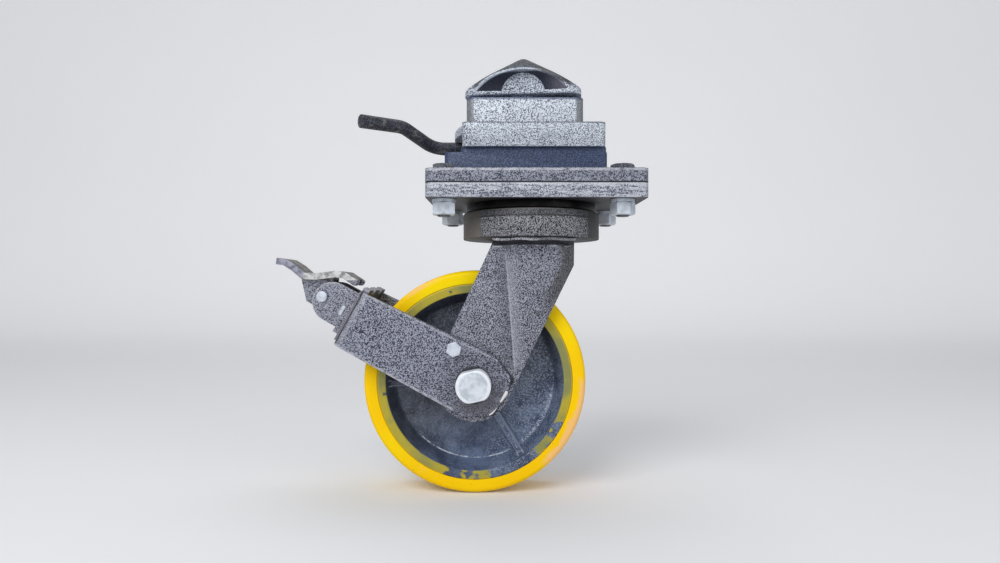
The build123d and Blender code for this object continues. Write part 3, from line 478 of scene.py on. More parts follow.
def arm_coat(name):
    """Brake frame: rubbed edges with painted highlights, darker round the axle with a painted
    shadow of the axle's head, painted shade on the faces towards the wheel, bright dashes on its
    end, pale lips and painted shade in the crease where its cross plate begins."""
    f = Finish(name)
    along, deep, up = f.axes(AXLE, (0, BRAKE_TILT, 0))
    back = -along
    f.speckle((38, 42, 58), (160, 163, 179))
    ground = back.far(up)
    f.over(ground.fall(18 * MM, 42 * MM) * 0.35, (44, 46, 56))
    plain = (along * 0.8 - up * 0.6).ramp(2 * MM, 14 * MM)
    f.over(ground.fall(22 * MM, 34 * MM) * plain * 0.5, (84, 81, 87))
    # Painted shadow of the axle's head round it
    f.over(ground.fall(15.8 * MM, 17.4 * MM) * 0.8, (18, 18, 24))
    # Worn paint with painted highlights along the edges and on the bend
    broken = f.noise(160, 3, 0.6).ramp(0.38, 0.6)
    low = up.band(-ARM_LOW + 0.5 * MM, 0.6 * MM, 0.7 * MM) * back.ramp(4 * MM, 8 * MM)
    high = (up + back * 0.038).band(28.3 * MM, 0.4 * MM, 0.6 * MM)
    bend = back.band(ARM_REACH - 4.6 * MM, MM, 2.2 * MM)
    bend = bend * up.fall(ARM_HIGH - MM, ARM_HIGH)
    rub_and_highlight = low.more(high * 0.6).more(bend * 0.45)
    f.over(rub_and_highlight * (0.2 + broken * 0.6), (188, 189, 194))
    # Painted shade in the crease where the cross plate begins
    crease = back.ramp(ARM_REACH - 2.4 * MM, ARM_REACH - 1.4 * MM) * (1 - low)
    f.over(crease * 0.88, (24, 24, 31))
    lip = up.ramp(ARM_HIGH + 0.2 * MM, ARM_HIGH + 0.6 * MM)
    lip = lip * back.ramp(ARM_REACH - 8 * MM, ARM_REACH - 7 * MM)
    lip_top = up.ramp(ARM_HIGH + 1.6 * MM, ARM_HIGH + 2.2 * MM)
    f.over(lip * 0.8, f.mix(lip_top, (88, 90, 104), (158, 158, 166)))
    # Painted shade on the faces towards the wheel
    inner = deep.size().fall(ARM_OUT - 6.4 * MM, ARM_OUT - 5.9 * MM)
    inner = inner * back.fall(ARM_REACH - 6 * MM, ARM_REACH - 5.6 * MM)
    f.over(inner * 0.85, (28, 30, 56))
    dash = along.ramp(26.8 * MM, 27.3 * MM) * up.band(3.7 * MM, 5.2 * MM, 0.8 * MM)
    low_dash = (along * 0.93 - up * 0.37).ramp(28.4 * MM, 29 * MM)
    low_dash = low_dash * up.band(-11.5 * MM, 4.8 * MM, 0.8 * MM)
    f.over(dash.more(low_dash), (226, 226, 226))
    return f.laid()


def bracket_coat(name):
    """Brake bracket: plain grey foot, painted shade in the crease between foot and cheeks, rubbed
    cheeks.
    """
    f = Finish(name)
    along, _, up = f.axes(AXLE, (0, BRAKE_TILT, 0))
    back = -along
    f.speckle((50, 52, 66), (164, 166, 180), 0.48)
    foot = back.fall(FOOT_REACH - 0.1 * MM, FOOT_REACH + 0.1 * MM)
    f.over(foot * 0.8, f.mix(f.noise(200), (118, 117, 124), (154, 153, 160)))
    # Painted shade in the creases between foot, cheeks and arm
    crease = back.band(FOOT_REACH + 0.9 * MM, 1.3 * MM, 0.5 * MM)
    crease = crease.more(back.fall(ARM_REACH + 0.4 * MM, ARM_REACH + MM))
    f.over(crease * 0.9, (24, 24, 32))
    cap = (back - PIVOT_REACH).far(up)
    edge = cap.band(CHEEK_R - 0.4 * MM, 0.4 * MM, 0.5 * MM)
    edge = edge * back.ramp(PIVOT_REACH, PIVOT_REACH + 4 * MM)
    f.over(edge * 0.5, (190, 188, 186))
    return f.laid()


def pedal_coat(name):
    """Brake pedal: bright rubbed side edges, mottled brownish tread face, speckled cheeks."""
    f = Finish(name)
    across, deep, up = f.axes(PIVOT)
    f.speckle((44, 46, 60), (160, 162, 176), 0.48)
    plate = up.ramp(14.6 * MM, 15.2 * MM)
    toe = across.fall(-19 * MM, -15 * MM)
    mottle = f.noise(190, 4, 0.65)
    side = f.mix(mottle.ramp(0.36, 0.6), (128, 128, 130), (216, 216, 212))
    toe_side = f.mix(mottle.ramp(0.35, 0.6), (94, 96, 112), (158, 159, 176))
    side = f.mix(toe, side, toe_side)
    face = f.mix(mottle.ramp(0.4, 0.6), (84, 80, 80), (152, 146, 140))
    side = f.mix(deep.size().ramp(15.6 * MM, 16.2 * MM), face, side)
    f.over(plate * 0.9, side)
    return f.laid()


def lever_coat(name):
    """Lever: dark blue grey, scraped in long streaks, its cut end rubbed bare."""
    f = Finish(name)
    along, _, _ = f.parts(f.place)
    f.speckle((14, 17, 28), (80, 83, 97), 0.55)
    scrape = f.noise(150, 3, 0.6, f.drawn(0.3, 1, 1)).ramp(0.56, 0.68)
    f.over(scrape * 0.55, (132, 128, 122))
    cut = along.fall(LEVER_LOW + 0.9 * MM, LEVER_LOW + 1.6 * MM)
    f.over(cut * 0.8, (176, 170, 160))
    return f.laid()


def zinc(name):
    """Bright zinc plate: blotched grey with a fine grain and dull spots."""
    f = Finish(name)
    blotch = f.noise(95, 3, 0.6)
    grain = f.noise(900, 2, 0.6)
    darkened = f.noise(260, 4, 0.7).ramp(0.56, 0.72)
    f.shade = f.mix(blotch.ramp(0.35, 0.7), (218, 226, 236), (187, 194, 203))
    f.over(darkened * 0.45, (140, 143, 145))
    f.set(Base_Color=f.shade, Metallic=0.35, Roughness=0.34 + blotch * 0.22)
    f.bump(grain * 0.5 + blotch * 0.5, 0.18, 0.2 * MM)
    return f.material


def axle_coat(name):
    """Bright axle head: mottled face and a painted highlight on its rim."""
    f = Finish(name)
    across, _, up = f.axes(AXLE)
    reach = across.far(up)
    blotch = f.noise(130, 4, 0.65)
    darkened = f.noise(330, 3, 0.7).ramp(0.56, 0.7)
    f.shade = f.mix(blotch.ramp(0.35, 0.65), (226, 232, 240), (190, 198, 208))
    f.over(darkened * 0.3, (160, 158, 156))
    # Painted highlight on the rounded rim
    rim = reach.ramp(11.8 * MM, 13.4 * MM)
    f.over(rim * 0.8, (246, 250, 254))
    f.set(Base_Color=f.shade, Metallic=0.2, Roughness=0.36 + blotch * 0.2)
    f.bump(blotch, 0.18, 0.2 * MM)
    return f.material


def steel(name, tone=(128, 128, 130)):
    """Plain machined steel with a thin film of oil and brown stains."""
    f = Finish(name)
    stain = f.noise(70, 5, 0.65).ramp(0.5, 0.75)
    fine = f.noise(700)
    f.shade = f.mix(stain * 0.5, tone, (84, 72, 60))
    f.set(Base_Color=f.shade, Metallic=0.75, Roughness=0.32 + stain * 0.25)
    f.bump(fine, 0.12, 0.1 * MM)
    return f.material


def tread_yellow(name):
    """Cast yellow polyurethane, deeper towards the floor, with a painted peach reflection on its
    shoulders and in patches.
    """
    f = Finish(name)
    across, _, up = f.axes(AXLE)
    reach = across.far(up)
    around = f.noise(9)
    patch_noise = f.noise(60, 5, 0.7)
    fine = f.noise(420, 3, 0.6)
    speck = f.noise(300).ramp(0.73, 0.78)
    f.shade = f.mix(around.ramp(0.35, 0.65), (255, 206, 0), (255, 226, 0))
    f.over((up / reach).ramp(-0.2, -0.95) * 0.5, (255, 196, 0))
    # Painted peach reflection on the right and upper left shoulders and in patches
    shoulder = reach.ramp(WHEEL_R - 6.5 * MM, WHEEL_R - 3 * MM)
    right = ((across * 0.91 - up * 0.41) / reach).ramp(0.88, 0.94)
    right = right * (reach + (patch_noise - 0.5) * 16 * MM).ramp(WHEEL_R - 9 * MM, WHEEL_R - 6.5 * MM)
    left = ((up * 0.88 - across * 0.47) / reach).ramp(0.975, 0.995) * shoulder
    left = left * patch_noise.ramp(0.34, 0.56)
    peach_reflection = right.more(left).more(patch_noise.ramp(0.6, 0.75) * 0.3)
    f.over(peach_reflection * 0.85, (252, 196, 128))
    f.over(speck * 0.5, (150, 110, 40))
    f.set(Base_Color=f.shade, Roughness=0.42 + peach_reflection * 0.25)
    f.shader.inputs["Specular IOR Level"].default_value = 0.12
    f.bump(fine * 0.5 + patch_noise * 0.5, 0.08, 0.3 * MM)
    return f.material


def core_paint(name):
    """Blue grey paint on cast iron, with a painted blue cast of shade towards the lower right and
    painted shade at the top and on the rim's wall; sandy to the right, a paint ridge with a painted
    highlight round the foot of the rim's wall, painted highlights on the rib edges and on the rim's
    face an olive film of tread, torn in places."""
    f = Finish(name)
    across, _, up = f.axes(AXLE)
    _, depth, _ = f.parts(f.place)
    reach = across.far(up)
    ball = f.noise(760, 2, 0.6)
    lump = f.noise(60, 4, 0.6)
    flake = (ball * 0.85 + lump * 0.15).ramp(0.5, 0.585)
    # Painted blue cast of shade towards the lower right
    blue = (across * 0.5 - up * 0.86).ramp(0, 70 * MM)
    dark = f.mix(blue, (50, 54, 65), (56, 70, 100))
    light = f.mix(blue, (90, 98, 112), (102, 119, 150))
    f.shade = f.mix(lump.ramp(0.3, 0.7), dark, light)
    sandy = (across * 0.97 - up * 0.24).ramp(20 * MM, 40 * MM)
    sandy = sandy.more((up / reach).ramp(0.3, 0.7) * 0.7)
    f.over(flake * (0.22 + sandy * 0.6), (150, 160, 178))
    # Painted shade towards the top
    top = (up / reach).ramp(0.2, 0.8)
    f.over(top * 0.3, (44, 48, 60))
    # Painted shade on the rim's wall
    wall = reach.ramp(DISC_R - 1.5 * MM, DISC_R + 1.5 * MM) * (1 - blue * 0.6)
    f.over(wall * 0.5, (48, 52, 64))
    # A paint ridge with a painted highlight round the foot of the rim's wall
    foot = reach.band(DISC_R - 1.3 * MM, 0.25 * MM, 0.45 * MM)
    foot = foot * (-up).ramp(44 * MM, 60 * MM) * across.fall(26 * MM, 33 * MM)
    f.over(foot * f.noise(240).ramp(0.34, 0.56) * 0.85, (196, 202, 210))
    sand = reach.band(DISC_R - 2.4 * MM, 0.5 * MM, 1.6 * MM)
    sand = sand * (across * 0.85 - up * 0.53).ramp(62 * MM, 68 * MM)
    f.over(sand * f.noise(1100, 0).ramp(0.52, 0.62), (206, 214, 226))
    # Painted highlights along each rib's edges
    for rib in RIB_ANGLES:
        offset = up * math.cos(rib) - across * math.sin(rib)
        outward = (across * math.cos(rib) + up * math.sin(rib)).ramp(HUB_R, HUB_R + 6 * MM)
        inward = reach.fall(RIM_BORE_R - 3 * MM, RIM_BORE_R - MM)
        line = offset.size().band(RIB_FLAT, 0.35 * MM, 0.5 * MM) * outward * inward
        f.over(line * 0.9, (168, 178, 196))
    film = reach.ramp(RIM_BORE_R - 0.6 * MM, RIM_BORE_R + 0.4 * MM)
    side = (depth * depth).ramp(22 * MM * 22 * MM, 23.5 * MM * 23.5 * MM)
    torn = f.noise(38, 3, 0.55)
    low = (across * 0.45 - up).ramp(0.058, 0.09)
    keep = (torn - low * 0.26).ramp(0.32, 0.36)
    olive = f.mix(f.noise(30, 4, 0.6).ramp(0.35, 0.65), (182, 166, 44), (138, 138, 80))
    olive = f.mix(reach.ramp(RIM_R - 1.6 * MM, RIM_R - 0.6 * MM) * 0.6, olive, (214, 184, 50))
    f.over(film * side * keep, olive)
    f.set(Base_Color=f.shade, Metallic=0.1, Roughness=0.5 - flake * 0.12)
    f.bump(ball * 0.5 + lump * 0.5, 0.4, 0.5 * MM)
    return f.material


def black_rubber(name):
    """Black seal rubber with a slight bloom."""
    f = Finish(name)
    bloom = f.noise(160, 4, 0.6)
    f.set(Base_Color=f.mix(bloom, (24, 24, 26), (52, 52, 54)), Roughness=0.7)
    f.bump(bloom, 0.15, 0.2 * MM)
    return f.material


housing = housing_coat("housing_paint")
foot_paint = hammer_paint("foot_paint", (40, 52, 80), (78, 94, 126), body=0.54, bite=0.15, soft=0.1)
head_paint = head_coat("head_paint")
lock_plate_paint = plate_coat(
    "lock_plate_paint", (38, 42, 56), (150, 154, 169), LOCK_TOP, LOCK_LOW, 0.15
)
caster_plate_paint = plate_coat(
    "caster_plate_paint", (68, 72, 87), (188, 192, 204), LOCK_LOW, PLATE_LOW, 0.55
)
bolt_paint = hammer_paint("bolt_paint", (52, 54, 62), (116, 118, 126))
ring_paint = ring_coat("ring_paint")
leg_paint = leg_coat("leg_paint")
arm_paint = arm_coat("arm_paint")
bracket_paint = bracket_coat("bracket_paint")
pedal_paint = pedal_coat("pedal_paint")
shoe_paint = hammer_paint("shoe_paint", (26, 28, 66), (56, 58, 108), body=0.52)
rubbed_paint = hammer_paint("rubbed_paint", (112, 112, 118), (190, 190, 195), body=0.45)
lever_paint = lever_coat("lever_paint")
weld_paint = weld_coat("weld_paint")
zinc_plate = zinc("zinc_plate")
bare_steel = steel("bare_steel")
# Dark oily steel for the upper race, darkened further to near black as painted shade for the recess
# under the plate
dark_steel_painted_shade = steel("dark_steel_painted_shade", tone=(10, 10, 12))
axle_zinc = axle_coat("axle_zinc")
yellow = tread_yellow("tread_yellow")
core = core_paint("core_paint")
rubber = black_rubber("black_rubber")


# Surfaces


def grid_faces(rows, columns, wrap_rows=False, wrap_columns=False):
    """Four-sided faces between neighbours of a grid of points, row by row."""
    i = np.arange(rows if wrap_rows else rows - 1)
    j = np.arange(columns if wrap_columns else columns - 1)
    i, j = np.meshgrid(i, j, indexing="ij")
    right = (j + 1) % columns
    down = (i + 1) % rows
    corners = [i * columns + j, i * columns + right, down * columns + right, down * columns + j]
    return np.stack(corners, axis=-1).reshape(-1, 4)


def piece(name, patches, body, node, slot, finish, sharp=None):
    """Joins patches of (points, faces) into one closed mesh that stands for a CAD node. Edges
    sharper than the angle in sharp stay crisp."""
    points = np.concatenate([p.reshape(-1, 3) for p, _ in patches])
    starts = np.cumsum([0] + [p.size // 3 for p, _ in patches])
    faces = np.concatenate([f + s for (_, f), s in zip(patches, starts)])
    mesh = bpy.data.meshes.new(name)
    mesh.from_pydata(points.tolist(), [], faces.tolist())
    close(mesh)
    mesh.shade_smooth()
    obj = placed(name, mesh)
    dress(obj, body, node, slot, finish)
    if sharp:
        crisp(mesh, sharp)


def close(mesh):
    """Merges doubled points and faces every closed shell outwards."""
    work = bmesh.new()
    work.from_mesh(mesh)
    bmesh.ops.remove_doubles(work, verts=work.verts, dist=2 * MICRON)
    bmesh.ops.dissolve_degenerate(work, edges=work.edges, dist=MICRON)
    bmesh.ops.recalc_face_normals(work, faces=work.faces)
    work.to_mesh(mesh)
    work.free()


def dress(obj, body, node, slot, *finishes):
    """Hands a new piece to the frame in place of its CAD node."""
    for finish in finishes:
        obj.data.materials.append(finish)
    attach(obj, body)
    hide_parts(node)


def crisp(mesh, angle):
    """Keeps edges sharper than the angle crisp under smooth shading."""
    work = bmesh.new()
    work.from_mesh(mesh)
    for edge in work.edges:
        edge.smooth = edge.calc_face_angle(0) < math.radians(angle)
    work.to_mesh(mesh)
    work.free()


def soften(node, body, slot, finish, edge, width):
    """A copy of a CAD node with its flat areas joined and its edges rounded. The roundings wear the
    edge finish."""
    mesh = merged_copy(node)
    obj = placed(node + "_dressed", mesh)
    mesh.materials.clear()
    dress(obj, body, node, slot, finish, edge)
    round_off = obj.modifiers.new("round_off", "BEVEL")
    round_off.width = width
    round_off.segments = 3
    round_off.limit_method = "ANGLE"
    round_off.angle_limit = math.radians(28)
    round_off.material = 1
    round_off.use_clamp_overlap = True
    round_off.harden_normals = True


def merged_copy(node):
    """The CAD node's mesh copied, its triangles merged and its flat areas made whole."""
    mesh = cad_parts[node].data.copy()
    work = bmesh.new()
    work.from_mesh(mesh)
    bmesh.ops.remove_doubles(work, verts=work.verts, dist=4 * MICRON)
    bmesh.ops.dissolve_degenerate(work, edges=work.edges, dist=2 * MICRON)
    bmesh.ops.dissolve_limit(
        work,
        angle_limit=math.radians(0.4),
        use_dissolve_boundaries=False,
        verts=work.verts,
        edges=work.edges,
        delimit=set(),
    )
    for face in work.faces:
        face.smooth = True
        face.material_index = 0
    work.to_mesh(mesh)
    work.free()
    return mesh


def full_turn(count):
    """Angles spread evenly round a full turn."""
    return np.linspace(0, 2 * math.pi, count, endpoint=False)


def about(centre, out, side, rows, columns=40, wrap_rows=False):
    """Points and faces of rows that run round the line through centre along out. A row tells its
    reach from the line and its height on it, as one number or as one for each column."""
    angle = full_turn(columns)
    ray = np.cos(angle)[:, None] * side + np.sin(angle)[:, None] * np.cross(out, side)
    parts = [np.array([part + 0 * angle for part in column]) for column in zip(*rows)]
    reach, height = parts[0][..., None], parts[1][..., None]
    points = centre + reach * ray + height * out
    return points, grid_faces(len(rows), columns, wrap_rows, wrap_columns=True)


def turned(profile, angles):
    """Points of a profile (depth along Y, reach) turned about the wheel's axle."""
    depth, reach = profile[:, :1], profile[:, 1:]
    x, z = reach * np.cos(angles), reach * np.sin(angles)
    return np.stack([x, depth + 0 * x, z], axis=-1) + AXLE


def arc(centre, radius, start, end, count):
    """Points on an arc in the profile's plane, angles in degrees."""
    t = np.radians(np.linspace(start, end, count))
    return np.stack([centre[0] + radius * np.cos(t), centre[1] + radius * np.sin(t)], axis=-1)


# Lock head


def blend_max(a, b, soft):
    """The larger of two heights with a fillet of about the given size where they cross."""
    h = np.clip(0.5 + (a - b) / (2 * soft), 0, 1)
    return b + (a - b) * h + soft * h * (1 - h)


def blend_min(a, b, soft):
    """The smaller of two heights with a rounding of about the given size where they cross."""
    return -blend_max(-a, -b, soft)


def pocket_share(x, z):
    """How far out in the pocket's loft a point lies, 0 at the back wall and 1 at the arch.

    It is the share k whose arch passes the point: a circle through two feet at the half width w
    and a top at the rise h, w and h growing evenly with k.
    """
    up = np.maximum(z - POCKET_FLOOR, 0)
    low, high = np.zeros_like(up), np.full_like(up, 2)
    for _ in range(26):
        k = (low + high) / 2
        w = SHAFT_R + (POCKET_HALF - SHAFT_R) * k
        h = SHAFT_R + (POCKET_RISE - SHAFT_R) * k
        outside = x**2 + up**2 - w**2 + up * (w**2 - h**2) / h > 0
        low, high = np.where(outside, k, low), np.where(outside, high, k)
    return k


def make_lock_head():
    """Half thickness over length and height: the smallest of a brow leaning in, round corners in
    plan and the pocket's depth, rounded off by a quarter circle along the outline."""
    edge = 1.8 * MM
    roof_rise = HEAD_TOP - HEAD_ROUND - HEAD_SHOULDER
    reach = math.hypot(HEAD_HALF_L, roof_rise)
    pitch = math.asin(roof_rise / reach) + math.asin(HEAD_ROUND / reach)
    round_z = HEAD_TOP - HEAD_ROUND + HEAD_ROUND * math.cos(pitch)
    lip = HEAD_RISE + edge * (1 - np.cos(np.radians(np.linspace(0, 90, 7))))
    floor_rows = POCKET_FLOOR + np.linspace(-1, 1, 15) * MM
    middle = np.linspace(POCKET_FLOOR + 1.4 * MM, round_z, 76)
    crest = HEAD_TOP - HEAD_ROUND * (1 - np.cos(np.linspace(pitch, 0, 10)))
    z = np.concatenate([lip, floor_rows, middle, crest[1:]])[:, None]
    slope_x = HEAD_HALF_L - np.maximum(z - HEAD_SHOULDER, 0) / math.tan(pitch)
    round_x = np.sqrt(np.maximum(HEAD_ROUND**2 - (z - HEAD_TOP + HEAD_ROUND) ** 2, 0))
    outline = np.where(z > round_z, round_x, slope_x)
    share = np.sin(np.linspace(-1, 1, 201) * math.pi / 2)[None, :]
    x = outline * share
    brow = blend_min(HEAD_HALF_W + 0 * z, HEAD_HALF_W - (z - BROW_Z) * BROW_LEAN, 2.7 * MM)
    corner = np.maximum(np.abs(x) - (HEAD_HALF_L - HEAD_ROUND), 0)
    plan = HEAD_HALF_W - HEAD_ROUND + np.sqrt(np.maximum(HEAD_ROUND**2 - corner**2, 0))
    half = np.minimum(brow + 0 * x, plan)
    pocket = POCKET_BACK + (HEAD_HALF_W - POCKET_BACK) * pocket_share(x, z)
    pocket = pocket + np.maximum(POCKET_FLOOR - z, 0) * 16
    half = blend_min(half, pocket, 1.5 * MM)
    slant = np.where(z > HEAD_SHOULDER, math.sin(pitch), 1)
    near_edge = np.minimum((outline - np.abs(x)) * slant, z - HEAD_RISE)
    near_edge = np.minimum(near_edge, edge)
    half = half - (edge - np.sqrt(edge**2 - (edge - near_edge) ** 2))
    cos, sin = math.cos(HEAD_TURN), math.sin(HEAD_TURN)
    front, back = [
        np.stack([x * cos - y * sin, x * sin + y * cos, z + 0 * x], axis=-1) for y in (-half, half)
    ]
    faces = grid_faces(*x.shape)
    patches = [(front, faces), (back, faces)]
    for rim in (np.s_[0, :], np.s_[:, 0], np.s_[:, -1]):
        strip = np.stack([front[rim], back[rim]])
        patches.append((strip, grid_faces(2, strip.shape[1])))
    end_r, step, low = 15 * MM, -33.5 * MM, -41.5 * MM
    shaft = [(0, low), (end_r, low), (end_r, step), (SHAFT_R, step)]
    shaft += [(SHAFT_R, HEAD_RISE), (0, HEAD_RISE)]
    patches.append(about((0, 0, 0), UP, RIGHT, shaft, columns=72))
    piece("forged_head", patches, "lock", "lock_head", "hammer_paint", head_paint, 55)


# Wheel


def make_tread():
    """Closed profile turned round: the wheel's radius less the crown times the square of the depth
    over its half width, with round shoulders."""
    shoulder = 4.6 * MM
    crown = 0.6 * MM
    depth = np.linspace(-1, 1, 25) * (TREAD_HALF - shoulder)
    top = np.stack([depth, WHEEL_R - crown * (depth / depth[-1]) ** 2], axis=-1)
    edge_r = top[0, 1] - shoulder
    near = arc((-TREAD_HALF + shoulder, edge_r), shoulder, 180, 90, 9)
    far = arc((TREAD_HALF - shoulder, edge_r), shoulder, 90, 0, 9)
    foot = 0.5 * MM
    near_foot = arc((-TREAD_HALF + foot, RIM_R + foot), foot, 270, 180, 5)
    far_foot = arc((TREAD_HALF - foot, RIM_R + foot), foot, 0, -90, 5)
    profile = np.concatenate([near_foot, near, top[1:-1], far, far_foot])
    angles = full_turn(192)
    points = turned(profile, angles)
    faces = grid_faces(len(profile), len(angles), wrap_rows=True, wrap_columns=True)
    piece("tread", [(points, faces)], "wheel", "wheel_tread", "yellow_tread", yellow)


def make_core():
    """Each side is a height over reach and angle: disc, drafted rim wall and hub, and three ribs,
    joined by fillets. The columns run along the ribs: each one's angle from the rib is that whose
    sine is the column's offset over the reach."""
    fillet = 3 * MM
    across = np.array([-9, -7.2, -6, -5.2, -4.6, -4.1, -3.5, -2, 0]) * MM
    across = np.concatenate([across, -across[-2::-1]])
    between = np.linspace(0, 1, 26)[1:-1]
    spans = [
        (SEAT_R, HUB_R - 1.4 * MM, 4),
        (HUB_R - MM, HUB_R + 7 * MM, 22),
        (HUB_R + 8 * MM, DISC_R - 8 * MM, 22),
        (DISC_R - 7 * MM, RIM_BORE_R + 1.2 * MM, 34),
        (RIM_BORE_R + 1.8 * MM, RIM_R - 0.9 * MM, 5),
    ]
    reach = np.concatenate([np.linspace(*span) for span in spans])
    columns = []
    offsets = []
    for k, rib in enumerate(RIB_ANGLES):
        following = RIB_ANGLES[(k + 1) % 3] + (2 * math.pi if k == 2 else 0)
        own = rib + np.arcsin(across[None, :] / reach[:, None])
        first = own[:, -1:]
        last = following + np.arcsin(across[0] / reach)[:, None]
        columns += [own, first + (last - first) * between[None, :]]
        offsets += [np.abs(across)[None, :] + 0 * own, 0 * columns[-1] + 1]
    angle = np.concatenate(columns, axis=1)
    offset = np.concatenate(offsets, axis=1)
    r = reach[:, None]
    wall = DISC_HALF + (r - DISC_R) * (RIM_HALF - DISC_HALF) / (RIM_BORE_R - DISC_R)
    hub = DISC_HALF + (HUB_R + 2.2 * MM - r) * (HUB_HALF - DISC_HALF) / (2.2 * MM)
    dish = DISC_HALF + 0.5 * MM * np.cos(math.pi * (r - HUB_R) / (DISC_R - HUB_R)) - 0.5 * MM
    height = blend_max(dish, np.minimum(wall, RIM_HALF), fillet)
    height = blend_max(height, np.minimum(hub, HUB_HALF), fillet)
    rib = RIB_TOP - np.maximum(offset - RIB_FLAT, 0) * 4.6
    height = np.maximum(height, blend_max(rib + 0 * r, height, 1.1 * MM))
    rim_round = 0.9 * MM
    past = np.clip((r - (RIM_BORE_R + 0.2 * MM)) / rim_round, -1, 0)
    worn = rim_round * (1 - np.sqrt(1 - past**2)) * (r > RIM_BORE_R - rim_round)
    height = np.minimum(height, RIM_HALF - worn)
    x, z = r * np.cos(angle), r * np.sin(angle)
    near = np.stack([x, -height, z], axis=-1) + AXLE
    far = np.stack([x, height, z], axis=-1)[::-1] + AXLE
    outer = [(-RIM_HALF + 0.25 * MM, RIM_R - 0.25 * MM), (-RIM_HALF + 0.9 * MM, RIM_R - 0.02 * MM)]
    inner = [(HUB_HALF, SEAT_R), (SEAT_FLOOR, SEAT_R), (SEAT_FLOOR, HUB_BORE_R)]
    outer, inner = [np.concatenate([p, np.array(p)[::-1] * [-1, 1]]) for p in (outer, inner)]
    points = np.concatenate([near, turned(outer, angle[-1]), far, turned(inner, angle[0])])
    faces = grid_faces(len(points), points.shape[1], wrap_rows=True, wrap_columns=True)
    piece("wheel_casting", [(points, faces)], "wheel", "wheel_core", "cast_core", core, 50)


# Fasteners


def hexagon_reach(angle, flat):
    """From the middle of a hexagon to its side: half the width across flats over the cosine of the
    angle from the nearest flat."""
    step = math.pi / 3
    away = (angle + step / 2) % step - step / 2
    return flat / np.cos(away)


def hex_solid(centre, out, side, flat, height, bore=0, both=False):
    """Hexagon prism with its corners cut by a 30 degree cone: beyond the cone's circle the height
    drops by the tangent of 30 degrees times the reach past it."""
    edge = hexagon_reach(full_turn(72), flat)
    cone_r = 0.955 * flat
    top = np.minimum(edge, cone_r)
    drop = np.maximum(edge - cone_r, 0) * math.tan(math.radians(30))
    rows = [(bore, 0)]
    if both:
        rows += [(top, 0)]
    rows += [(edge, drop if both else 0), (edge, height - drop), (top, height)]
    rows += [(cone_r * 0.6 + bore * 0.4, height), (bore, height)]
    return about(centre, out, side, rows, 72, wrap_rows=bore > 0)


def level_way(degrees):
    """The level direction at an angle from the object's right."""
    turn = math.radians(degrees)
    return np.array([math.cos(turn), math.sin(turn), 0])


def make_plate_bolts():
    """Hexagon heads with a washer face above, chamfered shank ends below."""
    low, high = np.array(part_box("plate_bolts"))[:, 2]
    heads = []
    for k, (x, y) in enumerate(BOLT_PLACES):
        side = level_way(17 * k + 4)
        heads.append(hex_solid((x, y, LOCK_TOP), UP, side, NUT_HALF, high - LOCK_TOP))
        shank = [(0, low), (BOLT_R - MM, low), (BOLT_R, low + MM)]
        shank += [(BOLT_R, LOCK_TOP), (0, LOCK_TOP)]
        heads.append(about((x, y, 0), UP, RIGHT, shank))
    piece("bolts", heads, "mount", "plate_bolts", "hammer_paint", bolt_paint, 24)


def make_plate_nuts():
    """Nuts chamfered on both faces."""
    low, high = np.array(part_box("plate_nuts"))[:, 2]
    nuts = []
    for k, (x, y) in enumerate(BOLT_PLACES):
        side = level_way(NUT_TURNS[k])
        nut = hex_solid((x, y, high), -UP, side, NUT_HALF, high - low, bore=BOLT_R, both=True)
        nuts.append(nut)
    piece("nuts", nuts, "mount", "plate_nuts", "zinc", zinc_plate, 24)


def make_spring_washers():
    """Split rings: a square wire carried round 353 degrees, its ends a little apart."""
    node = "plate_spring_washers"
    low, high = np.array(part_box(node))[:, 2]
    rings = []
    for k, (x, y) in enumerate(BOLT_PLACES):
        angle = np.linspace(0.06, 2 * math.pi - 0.06, 60) + k * 1.3
        reach = np.array([6, 10.1, 10.3, 10.3, 10.1, 6]) * MM
        level = np.array([1, 1, 0.93, 0.07, 0, 0]) * (high - low)
        px = x + reach[:, None] * np.cos(angle)
        py = y + reach[:, None] * np.sin(angle)
        pz = low + level[:, None] + 0 * px
        ring = np.stack([px, py, pz], axis=-1).transpose(1, 0, 2)
        rings.append((ring, grid_faces(60, 6, wrap_columns=True)))
        for end in (0, 59):
            rings.append((ring[end], np.array([[0, 1, 4, 5], [1, 2, 3, 4]])))
    piece("spring_washers", rings, "mount", node, "zinc", zinc_plate, 30)


def make_frame_bolts():
    """Small hexagon heads on the arms of the brake frame."""
    turn = math.radians(-12)
    side = np.array([math.cos(turn), 0, math.sin(turn)])
    bolts = []
    for out in (NEAR, FAR):
        foot = SMALL_BOLT_PLACE + ARM_OUT * out
        bolts.append(hex_solid(foot, out, side, SMALL_BOLT_HALF, 5.3 * MM))
        shank = [(0, -13 * MM), (4 * MM, -13 * MM), (4 * MM, 0), (0, 0)]
        bolts.append(about(foot, out, RIGHT, shank, columns=24))
    piece("small_bolts", bolts, "fork", "frame_bolts", "zinc", zinc_plate, 24)


def make_axle_nut():
    """Large nut chamfered on both faces."""
    low, high = np.array(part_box("axle_nut"))[:, 1]
    centre = (AXLE[0], low, AXLE[2])
    nut = hex_solid(centre, FAR, RIGHT, LARGE_NUT_HALF, high - low, bore=AXLE_R, both=True)
    piece("large_nut", [nut], "fork", "axle_nut", "zinc", zinc_plate, 24)


